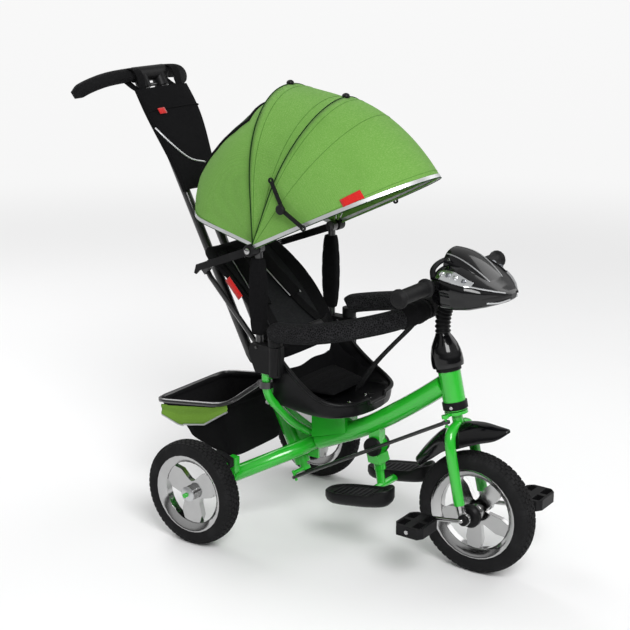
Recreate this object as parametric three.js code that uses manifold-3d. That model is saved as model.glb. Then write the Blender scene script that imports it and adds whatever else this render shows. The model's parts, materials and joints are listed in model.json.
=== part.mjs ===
// A children's tricycle with a push handle, a folding canopy and a bucket seat, in millimetres.
// +Z is up, the front wheel points to -Y, and the rider's right-hand side is -X.
import * as THREE from 'three';
import { mergeVertices } from 'three/addons/utils/BufferGeometryUtils.js';
import Module from 'manifold-3d';

const wasm = await Module();
wasm.setup();

// Driving sizes. Heights are above the ground, and y is measured from the front axle.
const clearance = 0.3; // between pieces that touch
const frontWheel = { radius: 125, rim: 93.5, width: 44.8, spokes: 5, hub: 17, window: 76 };
const rearWheel = { radius: 111.5, rim: 83.3, width: 43.8, spokes: 3, hub: 16, window: 67 };
const wheelbase = 543;
const rearTrack = 448;
const headAngle = 13; // degrees that the steering axis leans back
const headFoot = { y: 53, z: 329 }; // where the steering axis leaves the head tube
const headLength = 87.5;
const headRadius = 22.5;
const steererRadius = 11;
const mainTubeRadius = 20;
const forkTubeRadius = 16.5;
const uprightRadius = 9.25;
const legRadius = 11;
const legSpread = 45;
const axleRadius = 5;
const crankLength = 71;
const crankAngle = 6; // degrees that the right-hand crank hangs below level
const pedal = { centre: 112, length: 76, width: 62, depth: 22 };
const columnLean = 27;
const columnFoot = { y: 424, z: 130 };
const columnLength = 905;
const columnRadius = 13.5;
const armReach = 34; // from each steering axis to the link rod's pins
const armBack = 6;
const railSpread = 28;
const railRadius = 10;
const postX = 128;
const postRadius = 8;
const uprightX = 133;
const uprightY = 420;
const bracketFoot = 371;
const bracketTop = 430;
const hinge = { y: 436, z: 424 }; // the backrest's hinge
const recline = 44; // degrees that the backrest lies back from upright
const backrest = { length: 245, halfWidth: 112, wall: 15 };
const canopyPivot = { y: 439, z: 626.5 };
const pivotPin = 3;
const pinEnd = 163; // how far out the canopy's pivot pins reach
const bowThick = 2.6;
const bowWidth = 9;
const fabric = 2.4;
const barRadius = 21;
const barPivot = { x: 133, y: 396 };
const stemPivot = { y: 236, z: 213 }; // the footrest's hinge
const footrest = { y: 225, z: 130, x: 79.6, length: 156, width: 66, depth: 26 };
const grip = { x: 196, y: 72.7, z: 592, length: 104, radius: 14.5 };
const handlebarRadius = 9.5;

const degrees = Math.PI / 180;
const axisX = new THREE.Vector3(1, 0, 0);
const vec = (x, y, z) => new THREE.Vector3(x, y, z);
const green = { color: 0x18b81c, roughness: 0.25, metalness: 0.1 };
const black = { color: 0x121213, roughness: 0.45, metalness: 0 };
const blackSteel = { color: 0x161617, roughness: 0.35, metalness: 0.4 };
const rubber = { color: 0x1c1c1d, roughness: 0.85, metalness: 0 };
const chrome = { color: 0xc9cccf, roughness: 0.14, metalness: 1 };
const canopyCloth = { color: 0x62b436, roughness: 0.9, metalness: 0 };
const blackCloth = { color: 0x18181a, roughness: 0.95, metalness: 0 };
const foam = { color: 0x141415, roughness: 0.8, metalness: 0 };
const clear = { color: 0xdfe6ea, roughness: 0.08, metalness: 0 };

const group = new THREE.Group();

// The geometry with shared vertices merged and its faces pointing out.
function closed(geometry) {
  const plain = new THREE.BufferGeometry();
  plain.setAttribute('position', geometry.getAttribute('position').clone());
  if (geometry.index) plain.setIndex(geometry.index.clone());
  const merged = mergeVertices(plain, 1e-4);
  const p = merged.getAttribute('position');
  const index = Array.from(merged.index.array);
  const faces = [];
  let volume = 0;
  for (let i = 0; i < index.length; i += 3) {
    const [a, b, c] = index.slice(i, i + 3);
    if (a === b || b === c || c === a) continue;
    faces.push(a, b, c);
    const [va, vb, vc] = [a, b, c].map((n) => new THREE.Vector3().fromBufferAttribute(p, n));
    volume += va.dot(vb.cross(vc));
  }
  if (volume < 0) faces.reverse();
  merged.setIndex(faces);
  return merged;
}

function solid(geometry) {
  const g = closed(geometry);
  return new wasm.Manifold(new wasm.Mesh({
    numProp: 3,
    vertProperties: new Float32Array(g.getAttribute('position').array),
    triVerts: new Uint32Array(g.index.array),
  }));
}

function geometryOf(body) {
  const mesh = body.getMesh();
  const g = new THREE.BufferGeometry();
  g.setAttribute('position', new THREE.BufferAttribute(Float32Array.from(mesh.vertProperties), 3));
  g.setIndex(Array.from(mesh.triVerts));
  return g;
}

const union = (...shapes) => geometryOf(shapes.map(solid).reduce((all, one) => all.add(one)));
const cut = (shape, ...tools) => geometryOf(tools.map(solid).reduce((all, one) => all.subtract(one), solid(shape)));

function add(name, geometry, finish, parent = group) {
  const mesh = new THREE.Mesh(closed(geometry), new THREE.MeshStandardMaterial(finish));
  mesh.name = name;
  mesh.geometry.computeVertexNormals();
  parent.add(mesh);
  return mesh;
}

// Faces for a grid of points that is joined up along u when it goes round.
function gridFaces(faces, nu, nv, start, round, flip) {
  const wide = round ? nu : nu + 1;
  const at = (i, j) => start + j * wide + (round ? i % nu : i);
  for (let j = 0; j < nv; j++) {
    for (let i = 0; i < nu; i++) {
      const [a, b, c, d] = [at(i, j), at(i + 1, j), at(i + 1, j + 1), at(i, j + 1)];
      faces.push(...(flip ? [a, c, b, a, d, c] : [a, b, c, a, c, d]));
    }
  }
}

// A closed body through rings of points, with a flat cap on each end.
function loft(rings) {
  const n = rings[0].length;
  const points = rings.flat();
  const faces = [];
  gridFaces(faces, n, rings.length - 1, 0, true, false);
  for (const [ring, flip] of [[0, true], [rings.length - 1, false]]) {
    const middle = rings[ring].reduce((sum, p) => sum.add(p), vec(0, 0, 0)).divideScalar(n);
    points.push(middle);
    for (let i = 0; i < n; i++) {
      const edge = [ring * n + i, ring * n + ((i + 1) % n)];
      faces.push(...(flip ? edge.reverse() : edge), points.length - 1);
    }
  }
  return new THREE.BufferGeometry().setFromPoints(points).setIndex(faces);
}

// A closed body between two sheets of points, outer(u, v) and inner(u, v).
function skin(outer, inner, nu, nv) {
  const points = [];
  for (const side of [outer, inner]) {
    for (let j = 0; j <= nv; j++) {
      for (let i = 0; i <= nu; i++) points.push(side(i / nu, j / nv));
    }
  }
  const half = (nu + 1) * (nv + 1);
  const faces = [];
  gridFaces(faces, nu, nv, 0, false, false);
  gridFaces(faces, nu, nv, half, false, true);
  const rim = [];
  for (let i = 0; i < nu; i++) rim.push(i);
  for (let j = 0; j < nv; j++) rim.push(j * (nu + 1) + nu);
  for (let i = nu; i > 0; i--) rim.push(nv * (nu + 1) + i);
  for (let j = nv; j > 0; j--) rim.push(j * (nu + 1));
  rim.forEach((a, k) => {
    const b = rim[(k + 1) % rim.length];
    faces.push(a, a + half, b + half, a, b + half, b);
  });
  return new THREE.BufferGeometry().setFromPoints(points).setIndex(faces);
}

// The places along a path, each a point and a direction: straight runs with rounded corners.
function bentPath(points, reach, arc = 3) {
  const places = [[points[0], points[1].clone().sub(points[0]).normalize()]];
  points.slice(1, -1).forEach((corner, i) => {
    const into = corner.clone().sub(points[i]);
    const out = points[i + 2].clone().sub(corner);
    const start = corner.clone().addScaledVector(into.clone().normalize(), -Math.min(reach, into.length() * 0.45));
    const end = corner.clone().addScaledVector(out.clone().normalize(), Math.min(reach, out.length() * 0.45));
    const bend = new THREE.QuadraticBezierCurve3(start, corner, end);
    for (let k = 0; k <= arc; k++) places.push([bend.getPoint(k / arc), bend.getTangent(k / arc)]);
  });
  const last = points[points.length - 1];
  places.push([last, last.clone().sub(points[points.length - 2]).normalize()]);
  return places;
}

// The same for a smooth curve, at even steps.
function smoothPath(curve, steps) {
  return Array.from({ length: steps + 1 }, (_, i) => [curve.getPointAt(i / steps), curve.getTangentAt(i / steps)]);
}

const spline = (points) => new THREE.CatmullRomCurve3(points, false, 'centripetal');

// A round tube: a ring at each place, square to the path and carried along it without a twist.
function tube(path, radius, sides = 12) {
  let side = new THREE.Vector3().crossVectors(path[0][1], Math.abs(path[0][1].x) > 0.9 ? vec(0, 0, 1) : axisX);
  return loft(path.map(([point, direction]) => {
    side = side.addScaledVector(direction, -side.dot(direction)).normalize();
    const other = new THREE.Vector3().crossVectors(direction, side);
    return Array.from({ length: sides }, (_, i) => {
      const a = (i / sides) * 2 * Math.PI;
      return point.clone().addScaledVector(side, radius * Math.cos(a)).addScaledVector(other, radius * Math.sin(a));
    });
  }));
}

const rod = (from, to, radius, sides = 14) => tube(bentPath([from, to], 0), radius, sides);

// A turned body about the X axis, from points of [radius, x], moved to a centre.
function turned(profile, centre = vec(0, 0, 0), segments = 20) {
  const points = profile.map(([r, x]) => new THREE.Vector2(r, x));
  const g = new THREE.LatheGeometry(points, segments);
  return g.rotateZ(-Math.PI / 2).translate(centre.x, centre.y, centre.z);
}

const disc = (x0, x1, radius, centre, segments = 14) =>
  turned([[0, x0], [radius, x0], [radius, x1], [0, x1]], centre, segments);
const box = (x0, x1, y0, y1, z0, z1) =>
  new THREE.BoxGeometry(x1 - x0, y1 - y0, z1 - z0).translate((x0 + x1) / 2, (y0 + y1) / 2, (z0 + z1) / 2);

// A flat plate: an outline in (y, z), extruded from x0 to x1.
function plate(outline, x0, x1) {
  const shape = new THREE.Shape(outline.map(([y, z]) => new THREE.Vector2(y, z)));
  const g = new THREE.ExtrudeGeometry(shape, { depth: x1 - x0, bevelEnabled: false });
  return g.applyMatrix4(new THREE.Matrix4().makeBasis(vec(0, 1, 0), vec(0, 0, 1), axisX)).translate(x0, 0, 0);
}

// A ring of points round an oval in a plane across y, flattened by a power above 2.
function oval(y, z0, z1, half, power = 2.6, count = 16) {
  return Array.from({ length: count }, (_, i) => {
    const a = (i / count) * 2 * Math.PI;
    const soft = (v) => Math.sign(v) * Math.abs(v) ** (2 / power);
    return vec(half * soft(Math.cos(a)), y, (z0 + z1) / 2 + ((z1 - z0) / 2) * soft(Math.sin(a)));
  });
}

// Points along the two steering axes.
const headDirection = vec(0, Math.sin(headAngle * degrees), Math.cos(headAngle * degrees));
const onHead = (along) => vec(0, headFoot.y, headFoot.z).addScaledVector(headDirection, along);
const columnDirection = vec(0, Math.sin(columnLean * degrees), Math.cos(columnLean * degrees));
const onColumn = (along) => vec(0, columnFoot.y, columnFoot.z).addScaledVector(columnDirection, along);
const columnForward = vec(0, -Math.cos(columnLean * degrees), Math.sin(columnLean * degrees));

// The end of a steering arm: out to the right and a little back, square to its axis.
const armPin = (foot, axis) => foot.clone().add(vec(-armReach, armBack * axis.z, -armBack * axis.y));

// ---- Frame -----------------------------------------------------------------------------
const junction = vec(0, 384, 188);
const socketTop = 142; // how far up the column the fixed socket reaches
const rearAxle = { y: wheelbase, z: rearWheel.radius };
const forkEnd = rearTrack / 2 - rearWheel.width / 2 - 10; // the rear fork stops short of the tyre
const rearForkPath = bentPath([
  vec(-forkEnd, rearAxle.y, rearAxle.z), vec(-forkEnd + 22, rearAxle.y - 12, rearAxle.z + 6),
  vec(-92, 424, 172), junction, vec(92, 424, 172),
  vec(forkEnd - 22, rearAxle.y - 12, rearAxle.z + 6), vec(forkEnd, rearAxle.y, rearAxle.z)], 60, 2);
const brakePivot = { x: forkEnd - 21, y: rearAxle.y - 58, z: rearAxle.z + 62 };
const stubLength = rearWheel.width + 16;
const hubBore = axleRadius + clearance;

function rearFork() {
  const parts = [tube(rearForkPath, forkTubeRadius, 12)];
  for (const side of [-1, 1]) {
    const from = side * (forkEnd - 16);
    const to = side * (forkEnd + stubLength + 2);
    parts.push(rod(vec(from, rearAxle.y, rearAxle.z), vec(to, rearAxle.y, rearAxle.z), axleRadius, 12));
    parts.push(rod(vec(from, rearAxle.y, rearAxle.z), vec(side * (forkEnd + 4), rearAxle.y, rearAxle.z), 13, 14));
    const [near, far] = [side * (brakePivot.x - 18), side * (brakePivot.x - 1)];
    const [y, z] = [brakePivot.y, brakePivot.z];
    parts.push(plate([[y - 9, z + 9], [y + 9, z + 9], [y + 35, z - 33], [y + 15, z - 48], [y - 9, z - 24]],
      Math.min(near, far), Math.max(near, far)));
    parts.push(disc(Math.min(near, side * (brakePivot.x + 16)), Math.max(near, side * (brakePivot.x + 16)), 3, vec(0, y, z)));
  }
  return union(...parts);
}

const mainPath = smoothPath(spline([
  vec(0, 82, 374), vec(0, 95, 364), vec(0, 135, 333), vec(0, 182, 300), vec(0, 229, 268),
  vec(0, 278, 240), vec(0, 328, 216), vec(0, junction.y - 4, junction.z + 4)]), 7);

function mainFrame() {
  const head = rod(onHead(0), onHead(headLength), headRadius, 20);
  const frame = union(
    head,
    tube(mainPath, mainTubeRadius, 14),
    plate([[300, 232], [384, 205], [384, 290], [300, 290]], -24, 24),
    plate([[382, 150], [430, 150], [470, 230], [462, 250], [384, 214]], -3, 3),
    rod(onColumn(0), onColumn(socketTop), columnRadius + 3.5, 16),
    box(-11, 11, stemPivot.y - 13, stemPivot.y + 13, stemPivot.z, stemPivot.z + 40),
  );
  return cut(frame,
    rod(onHead(-2), onHead(headLength + 2), steererRadius + clearance, 14),
    tube(rearForkPath, forkTubeRadius + clearance, 12),
    rod(onColumn(-2), onColumn(socketTop + 2), columnRadius - 4.5 + clearance, 14),
    disc(-12, 12, 5.3, vec(0, stemPivot.y, stemPivot.z)),
    box(-25, 25, 310, 374, 262, 286));
}

const uprightPath = (side) => bentPath([
  vec(side * 19, 396, 214), vec(side * 60, 405, 243), vec(side * uprightX, uprightY, 322),
  vec(side * uprightX, uprightY, bracketFoot + 40)], 26);

function upright(side) {
  return cut(tube(uprightPath(side), uprightRadius, 12),
    tube(rearForkPath, forkTubeRadius + clearance, 12),
    box(-25.3, 25.3, 290, 384.3, 200, 291),
    plate([[380, 148], [432, 148], [472, 230], [464, 252], [382, 216]], -3.3, 3.3),
    rod(onColumn(-2), onColumn(socketTop + 2), columnRadius + 3.8, 16));
}

// The black plate on each upright that holds the backrest, the canopy post and the safety bar.
function sideBracket(side) {
  const outline = [[384, bracketFoot], [440, bracketFoot], [456, 408], [452, bracketTop], [384, bracketTop]];
  const inner = Math.min(side * 119, side * 144);
  const block = union(
    plate(outline, inner, inner + 25),
    rod(vec(side * barPivot.x, barPivot.y, bracketFoot - 4), vec(side * barPivot.x, barPivot.y, bracketTop), 14, 16));
  return cut(block,
    rod(vec(side * uprightX, uprightY, bracketFoot - 5), vec(side * uprightX, uprightY, bracketFoot + 40 + clearance),
      uprightRadius + clearance, 14),
    rod(vec(side * postX, canopyPivot.y, bracketFoot + 25), vec(side * postX, canopyPivot.y, bracketTop + 1),
      postRadius + clearance, 16),
    rod(vec(side * barPivot.x, barPivot.y, bracketFoot + 12), vec(side * barPivot.x, barPivot.y, bracketTop + 1),
      6.5, 16),
    disc(-150, 150, pivotPin + clearance, vec(0, hinge.y, hinge.z)));
}

function canopyPost(side) {
  const at = vec(side * postX, canopyPivot.y, 0);
  const foot = at.clone().setZ(bracketFoot + 26);
  const top = at.clone().setZ(canopyPivot.z);
  const pin = rod(vec(side * postX, canopyPivot.y, canopyPivot.z), vec(side * (pinEnd - 1), canopyPivot.y, canopyPivot.z), pivotPin);
  const cap = rod(vec(side * (pinEnd - 3), canopyPivot.y, canopyPivot.z), vec(side * pinEnd, canopyPivot.y, canopyPivot.z), 7);
  const head = rod(vec(side * (postX - 7), canopyPivot.y, canopyPivot.z),
    vec(side * (postX + 8), canopyPivot.y, canopyPivot.z), 11);
  const body = union(rod(foot, top, postRadius, 14), pin, cap, head);
  return cut(body, disc(-150, 150, pivotPin + clearance, vec(0, hinge.y, hinge.z)));
}

function postSleeve(side) {
  const half = (z) => 12 + 7 * Math.sin(Math.PI * Math.min(1, Math.max(0, (z - 446) / 172)));
  const ring = (z) => Array.from({ length: 14 }, (_, i) => {
    const a = (i / 14) * 2 * Math.PI;
    return vec(side * postX + 9.6 * Math.cos(a), canopyPivot.y + 2 + (half(z) + 2) * Math.sin(a), z);
  });
  return cut(loft([446, 470, 500, 540, 580, 604].map(ring)),
    rod(vec(side * postX, canopyPivot.y, 440), vec(side * postX, canopyPivot.y, 620), postRadius + clearance, 16));
}

// ---- Seat ------------------------------------------------------------------------------
const seat = { nose: 238, back: 418, halfWidth: 117, floor: 310, rim: 424, wall: 5 };

function seatSurface(u, v, inset, drop) {
  const s = Math.abs(2 * u - 1);
  const round = Math.sqrt(Math.max(0, 1 - (1 - Math.min(1, v / 0.5)) ** 2.4));
  const half = (26 + (seat.halfWidth - 26) * round) - inset;
  const wall = 10 + (seat.rim - seat.floor - 10) * Math.max(0, (v - 0.12) / 0.88) ** 1.7;
  const t = Math.max(0, (s - 0.55) / 0.45) * (Math.PI / 2);
  const across = s < 0.55 ? (s / 0.55) * 0.86 : 0.86 + 0.14 * Math.sin(t);
  const dish = -8 * Math.sin(Math.PI * Math.min(1, v * 1.1)) * (1 - s * s);
  const y = seat.nose + inset * (1 - v) + (seat.back - seat.nose - inset) * v;
  const z = seat.floor + dish + wall * (1 - Math.cos(t)) - drop * (1 - s ** 4);
  return vec(Math.sign(u - 0.5) * half * across, y, z);
}

function seatShell() {
  const shell = skin((u, v) => seatSurface(u, v, 0, 20), (u, v) => seatSurface(u, v, seat.wall, 0), 14, 7);
  const slots = [-40, 40].map((x) => box(x - 4, x + 4, 268, 292, 250, 340));
  const posts = [-1, 1].map((side) => plate([[376, 364], [470, 364], [470, 440], [376, 440]],
    Math.min(side * 118.6, side * 150), Math.max(side * 118.6, side * 150)));
  const uprights = [-1, 1].map((side) => tube(uprightPath(side), uprightRadius + 1, 12));
  return cut(shell, box(-24.3, 24.3, 296, 386, 200, 290.3), ...slots, ...posts, ...uprights);
}

function seatPad() {
  const rings = [306, 318, 350, 390, 408].map((y, i) => oval(y, 314 + (i > 2 ? 4 : 0), 332 + i * 2.5, 60 + i * 7, 4));
  return loft(rings);
}

// ---- Basket ----------------------------------------------------------------------------
const basket = { front: 532, back: 730, halfWidth: 117, rimFront: 270, rimBack: 244, floor: 142, wire: 5 };

function basketRing(t, inset, level) {
  // level 0 is the rim and level 1 the floor, which is smaller and lies toward the front
  const front = basket.front + inset + 8 * level;
  const back = basket.back - inset - 52 * level;
  const half = basket.halfWidth - inset - 24 * level;
  const corner = 26;
  const shape = [];
  const centres = [[-1, 1], [1, 1], [1, -1], [-1, -1]];
  centres.forEach(([sx, sy], k) => {
    for (let i = 0; i <= 3; i++) {
      const a = Math.PI - (k * Math.PI) / 2 - (i * Math.PI) / 6;
      const x = sx * (half - corner) + corner * Math.cos(a);
      const y = (sy > 0 ? back - corner : front + corner) + corner * Math.sin(a);
      const along = (y - basket.front) / (basket.back - basket.front);
      const rim = basket.rimFront + (basket.rimBack - basket.rimFront) * along;
      const floor = basket.floor + 52 * along ** 1.4;
      shape.push(vec(x, y, rim + t + (floor - rim) * level));
    }
  });
  return shape;
}

function basketBag() {
  const outer = loft([basketRing(0, 0, 1), basketRing(0, 0, 0.5), basketRing(0, 0, 0)]);
  const inner = loft([basketRing(3, 3, 1), basketRing(0, 3, 0.5), basketRing(0, 3, 0), basketRing(30, 3, 0)]);
  return cut(outer, inner);
}

function basketFrame() {
  const out = basket.halfWidth + basket.wire + 1;
  const hook = { x: out - 6, y: uprightY + uprightRadius + 8, z: 346 };
  const run = [
    vec(hook.x, hook.y, hook.z), vec(out - 2, 470, 322), vec(out, 536, basket.rimFront + 2),
    vec(out, basket.back + basket.wire + 1, basket.rimBack)];
  const path = bentPath([...run.map((p) => vec(-p.x, p.y, p.z)), ...run.reverse()], 34);
  const clamp = (side) => rod(vec(side * uprightX, uprightY, 339), vec(side * uprightX, uprightY, 353), uprightRadius + 5);
  const stub = (side) => rod(vec(side * (hook.x - 2), hook.y, hook.z), vec(side * (uprightX + 3), hook.y, hook.z), basket.wire);
  const through = (side) => tube(uprightPath(side), uprightRadius + 0.4, 12);
  return cut(union(tube(path, basket.wire, 8), clamp(1), clamp(-1), stub(1), stub(-1)), through(1), through(-1));
}

// ---- Fork and what turns with it ---------------------------------------------------------
const crownZ = 298;
const legKnee = (side) => vec(side * legSpread, 38, 264);
const legFoot = (side) => vec(side * (legSpread + 2), 13, 152);
const legPath = (side) => bentPath([
  vec(side * 6, 45, crownZ + 2), vec(side * (legSpread - 8), 44, crownZ - 6), legKnee(side), legFoot(side)], 22);

function fork() {
  const legs = [-1, 1].map((side) => tube(legPath(side), legRadius, 12));
  const pin = armPin(onHead(0), headDirection);
  const down = (from, to, radius, centre) => rod(
    centre.clone().addScaledVector(headDirection, from), centre.clone().addScaledVector(headDirection, to), radius);
  return union(
    rod(onHead(-34), onHead(headLength + 20), steererRadius, 14),
    rod(onHead(-8), onHead(-2), headRadius + 1, 20),
    ...legs,
    rod(onHead(-6).add(vec(8, 0, 0)), armPin(onHead(-6), headDirection), 3.5),
    down(-9, -2, 7, pin), down(-26, -3, 2.5, pin), down(-27, -24, 4.2, pin));
}

function forkTip(side) {
  const x = side * (legSpread + 2);
  const axle = vec(0, 0, frontWheel.radius);
  const inner = Math.min(x - side * 3, x + side * 3);
  const body = union(
    rod(vec(x, 14, 156), vec(x, 8, 138), legRadius - 2, 12),
    plate([[-9, 128], [10, 122], [20, 146], [2, 150]], inner, inner + 6),
    disc(x - 5, x + 5, 13, axle));
  return cut(body, disc(x - 20, x + 20, axleRadius + clearance, axle),
    rod(legFoot(side).lerp(legKnee(side), -clearance / 115), legKnee(side), legRadius + 2, 12));
}

function fender() {
  const line = new THREE.CatmullRomCurve3([
    vec(0, -66, 300), vec(0, -40, 310), vec(0, 0, 312), vec(0, 24, 301), vec(0, 44, 286), vec(0, 80, 272), vec(0, 116, 242),
    vec(0, 140, 202)]);
  const sheet = (offset) => (u, v) => {
    const p = line.getPoint(v);
    const tangent = line.getTangent(v);
    const up = vec(0, -tangent.z, tangent.y).multiplyScalar(tangent.y > 0 ? 1 : -1);
    const half = 31 * Math.sin(Math.PI * (0.12 + 0.76 * v)) ** 0.7 + offset;
    const a = (u - 0.5) * 2;
    return vec(half * a, p.y, p.z).addScaledVector(up, offset - 15 * a * a);
  };
  const top = skin(sheet(0), sheet(-2.6), 6, 12);
  const legs = [-1, 1].map((side) => tube(legPath(side), legRadius + clearance, 12));
  return cut(top, rod(onHead(-24), onHead(4), headRadius + 2, 20), ...legs,
    box(-legSpread - 12, 12, 26, 70, 286, 330));
}

const stemCurve = spline([
  onHead(headLength + 22), onHead(headLength + 58), vec(0, 75, 504), vec(0, 62, 534), vec(0, 62, 562), vec(0, grip.y, grip.z)]);

function handlebar() {
  const bar = rod(vec(-grip.x + 8, grip.y, grip.z), vec(grip.x - 8, grip.y, grip.z), handlebarRadius);
  return union(tube(smoothPath(stemCurve, 9), 8), bar, rod(onHead(headLength + 20.5), onHead(headLength + 28), 10, 18));
}

function stemBoot() {
  const bell = [
    [15, 1], [31, 1], [30, 22], [25, 44], [18, 56], [15, 70], [10, 70], [15, 40], [15, 1]];
  const g = new THREE.LatheGeometry(bell.map(([r, h]) => new THREE.Vector2(r, h)), 16);
  g.rotateX(Math.PI / 2).rotateX(-headAngle * degrees);
  const foot = onHead(headLength);
  g.translate(foot.x, foot.y, foot.z);
  const rings = 4;
  const sleeve = [];
  for (let i = 0; i <= 2 * rings; i++) {
    const t = 0.33 + (0.33 * i) / (2 * rings);
    const p = stemCurve.getPointAt(t);
    const tangent = stemCurve.getTangentAt(t);
    const up = vec(0, tangent.z, -tangent.y);
    const r = i % 2 ? 15.2 : 13.4;
    sleeve.push(Array.from({ length: 12 }, (_, k) => {
      const a = (k / 12) * 2 * Math.PI;
      return p.clone().addScaledVector(axisX, r * Math.cos(a)).addScaledVector(up, r * Math.sin(a));
    }));
  }
  return cut(union(g, loft(sleeve)), tube(smoothPath(stemCurve, 9), 8 + clearance),
    rod(onHead(headLength - 1), onHead(headLength + 32), steererRadius + 1, 20));
}

function handGrip(side) {
  const end = side * grip.x;
  const start = side * (grip.x - grip.length);
  const at = vec(0, grip.y, grip.z);
  const profile = [[0, end + side * 2], [12, end], [18.5, end - side * 6], [18.5, end - side * 11],
    [grip.radius, end - side * 16], [grip.radius, start + side * 8], [18.5, start + side * 5], [18.5, start], [0, start]];
  return cut(turned(profile, at, 16),
    rod(vec(end - side * 7.7, grip.y, grip.z), vec(start - side * 4, grip.y, grip.z), handlebarRadius + clearance));
}

// The toy dashboard: an open shell over the middle of the handlebar.
const consoleSections = [
  [76, 566, 600, 40], [62, 542, 630, 68], [36, 534, 655, 84], [8, 538, 646, 90],
  [-22, 547, 624, 88], [-52, 557, 600, 66], [-80, 564, 586, 36], [-90, 570, 580, 18]];

function consoleBody() {
  const outer = loft(consoleSections.map(([y, low, high, half]) => oval(y, low, high, half, 2.8)));
  const inner = loft(consoleSections.slice(1, 7).map(([y, low, high, half]) => oval(y, low - 30, high - 5, half - 6, 2.8)));
  const barHole = rod(vec(-130, grip.y, grip.z), vec(130, grip.y, grip.z), handlebarRadius + clearance);
  return cut(outer, inner, barHole, rod(vec(0, 60, 500), vec(0, 66, 590), 17), rod(vec(0, 60, 590), vec(0, 90, 590), 14));
}

function headlight(side) {
  const rings = [0, 1].map((k) => Array.from({ length: 14 }, (_, i) => {
    const a = (i / 14) * 2 * Math.PI;
    const out = vec(side * 0.93, -0.36, 0).normalize();
    const along = vec(-side * out.y, side * out.x, 0);
    return vec(side * 88, -14, 598).addScaledVector(out, 4 + 4 * k)
      .addScaledVector(along, -side * (26 - 5 * k) * Math.cos(a))
      .add(vec(0, 0, (9.5 - 2 * k) * Math.sin(a) + 5 * Math.cos(a)));
  }));
  return loft(rings);
}

// ---- Wheels ------------------------------------------------------------------------------
function tyre(wheel, centre) {
  const h = wheel.width / 2;
  const r = wheel.rim + clearance;
  const R = wheel.radius;
  return turned([
    [r, -h], [R - 12, -h], [R - 3, -h + 6], [R, -9], [R, 9], [R - 3, h - 6], [R - 12, h], [r, h], [r, -h]], centre, 32);
}

function rim(wheel, centre) {
  const h = wheel.width / 2;
  const barrel = turned([
    [wheel.rim - 5, -h + 4], [wheel.rim, -h + 3], [wheel.rim, h - 3], [wheel.rim - 5, h - 4],
    [wheel.window, 8], [wheel.window, -8], [wheel.rim - 5, -h + 4]], centre, 32);
  const star = new THREE.Shape();
  const count = wheel.spokes * 8;
  for (let i = 0; i <= count; i++) {
    const a = (i / count) * 2 * Math.PI;
    const lobe = (1 + Math.cos(wheel.spokes * a)) / 2;
    const r = wheel.hub + 9 + (wheel.window + 4 - wheel.hub - 9) * Math.min(1, lobe * 1.45) ** 1.6;
    const [x, y] = [r * Math.cos(a), r * Math.sin(a)];
    if (i === 0) star.moveTo(x, y);
    else if (i < count) star.lineTo(x, y);
  }
  const spokes = new THREE.ExtrudeGeometry(star, { depth: 12, bevelEnabled: false });
  spokes.translate(0, 0, -6).rotateY(Math.PI / 2).translate(centre.x, centre.y, centre.z);
  const hub = disc(-h + 2, h - 2, wheel.hub, centre, 18);
  return cut(union(barrel, spokes, hub), disc(-60, 60, axleRadius + clearance, centre));
}

const frontCentre = vec(0, 0, frontWheel.radius);
const crankDirection = vec(0, Math.cos(crankAngle * degrees), -Math.sin(crankAngle * degrees));
const pedalCentre = (side) => frontCentre.clone()
  .addScaledVector(crankDirection, -side * crankLength).add(vec(side * pedal.centre, 0, 0));
const pinInner = legSpread + 21;

function crank() {
  const pin = (side) => {
    const end = pedalCentre(side);
    const tip = end.clone().setX(side * (pedal.centre + pedal.length / 2 + 2));
    return [tip, end.clone().setX(side * pinInner)];
  };
  const [leftTip, leftRoot] = pin(1);
  const [rightTip, rightRoot] = pin(-1);
  const path = bentPath([
    rightTip, rightRoot, vec(-legSpread - 14, frontCentre.y, frontCentre.z),
    vec(legSpread + 14, frontCentre.y, frontCentre.z), leftRoot, leftTip], 7, 2);
  return tube(path, axleRadius - 0.4, 8);
}

function pedalBlock(side) {
  const c = pedalCentre(side);
  const half = pedal.width / 2;
  const [inner, outer] = [c.x - pedal.length / 2, c.x + pedal.length / 2];
  const outline = [
    [inner, -half + 8], [inner + 12, -half], [outer - 12, -half], [outer, -half + 12],
    [outer, half - 12], [outer - 12, half], [inner + 12, half], [inner, half - 8]];
  const shape = new THREE.Shape(outline.map(([x, y]) => new THREE.Vector2(x, y)));
  const body = new THREE.ExtrudeGeometry(shape, { depth: pedal.depth, bevelEnabled: false })
    .translate(0, c.y, c.z - pedal.depth / 2);
  const pockets = [-1, 1].flatMap((sy) => [-1, 1].map((sx) => {
    const y = c.y + sy * 17;
    return box(c.x + sx * 18 - 13, c.x + sx * 18 + 13, y - 8, y + 8, c.z - 20, c.z + 20);
  }));
  return cut(body, ...pockets, rod(vec(inner - 2, c.y, c.z), vec(outer + 2, c.y, c.z), axleRadius + 0.4, 14));
}

function brakeLever(side) {
  const x = brakePivot.x;
  const profile = (points, x0, x1) => plate(points.map(([y, z]) => [brakePivot.y + y, brakePivot.z + z]),
    Math.min(side * x0, side * x1), Math.max(side * x0, side * x1));
  const body = union(
    profile([[-8, -8], [8, -8], [20, 10], [16, 18], [-8, 10]], x, x + 14),
    profile([[14, 10], [34, 14], [34, 20], [14, 18]], x, x + 20));
  return cut(body, disc(-260, 260, 3 + clearance, vec(0, brakePivot.y, brakePivot.z)));
}

// ---- Footrest ----------------------------------------------------------------------------
const crossTube = { y: 222, z: 127 };

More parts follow.
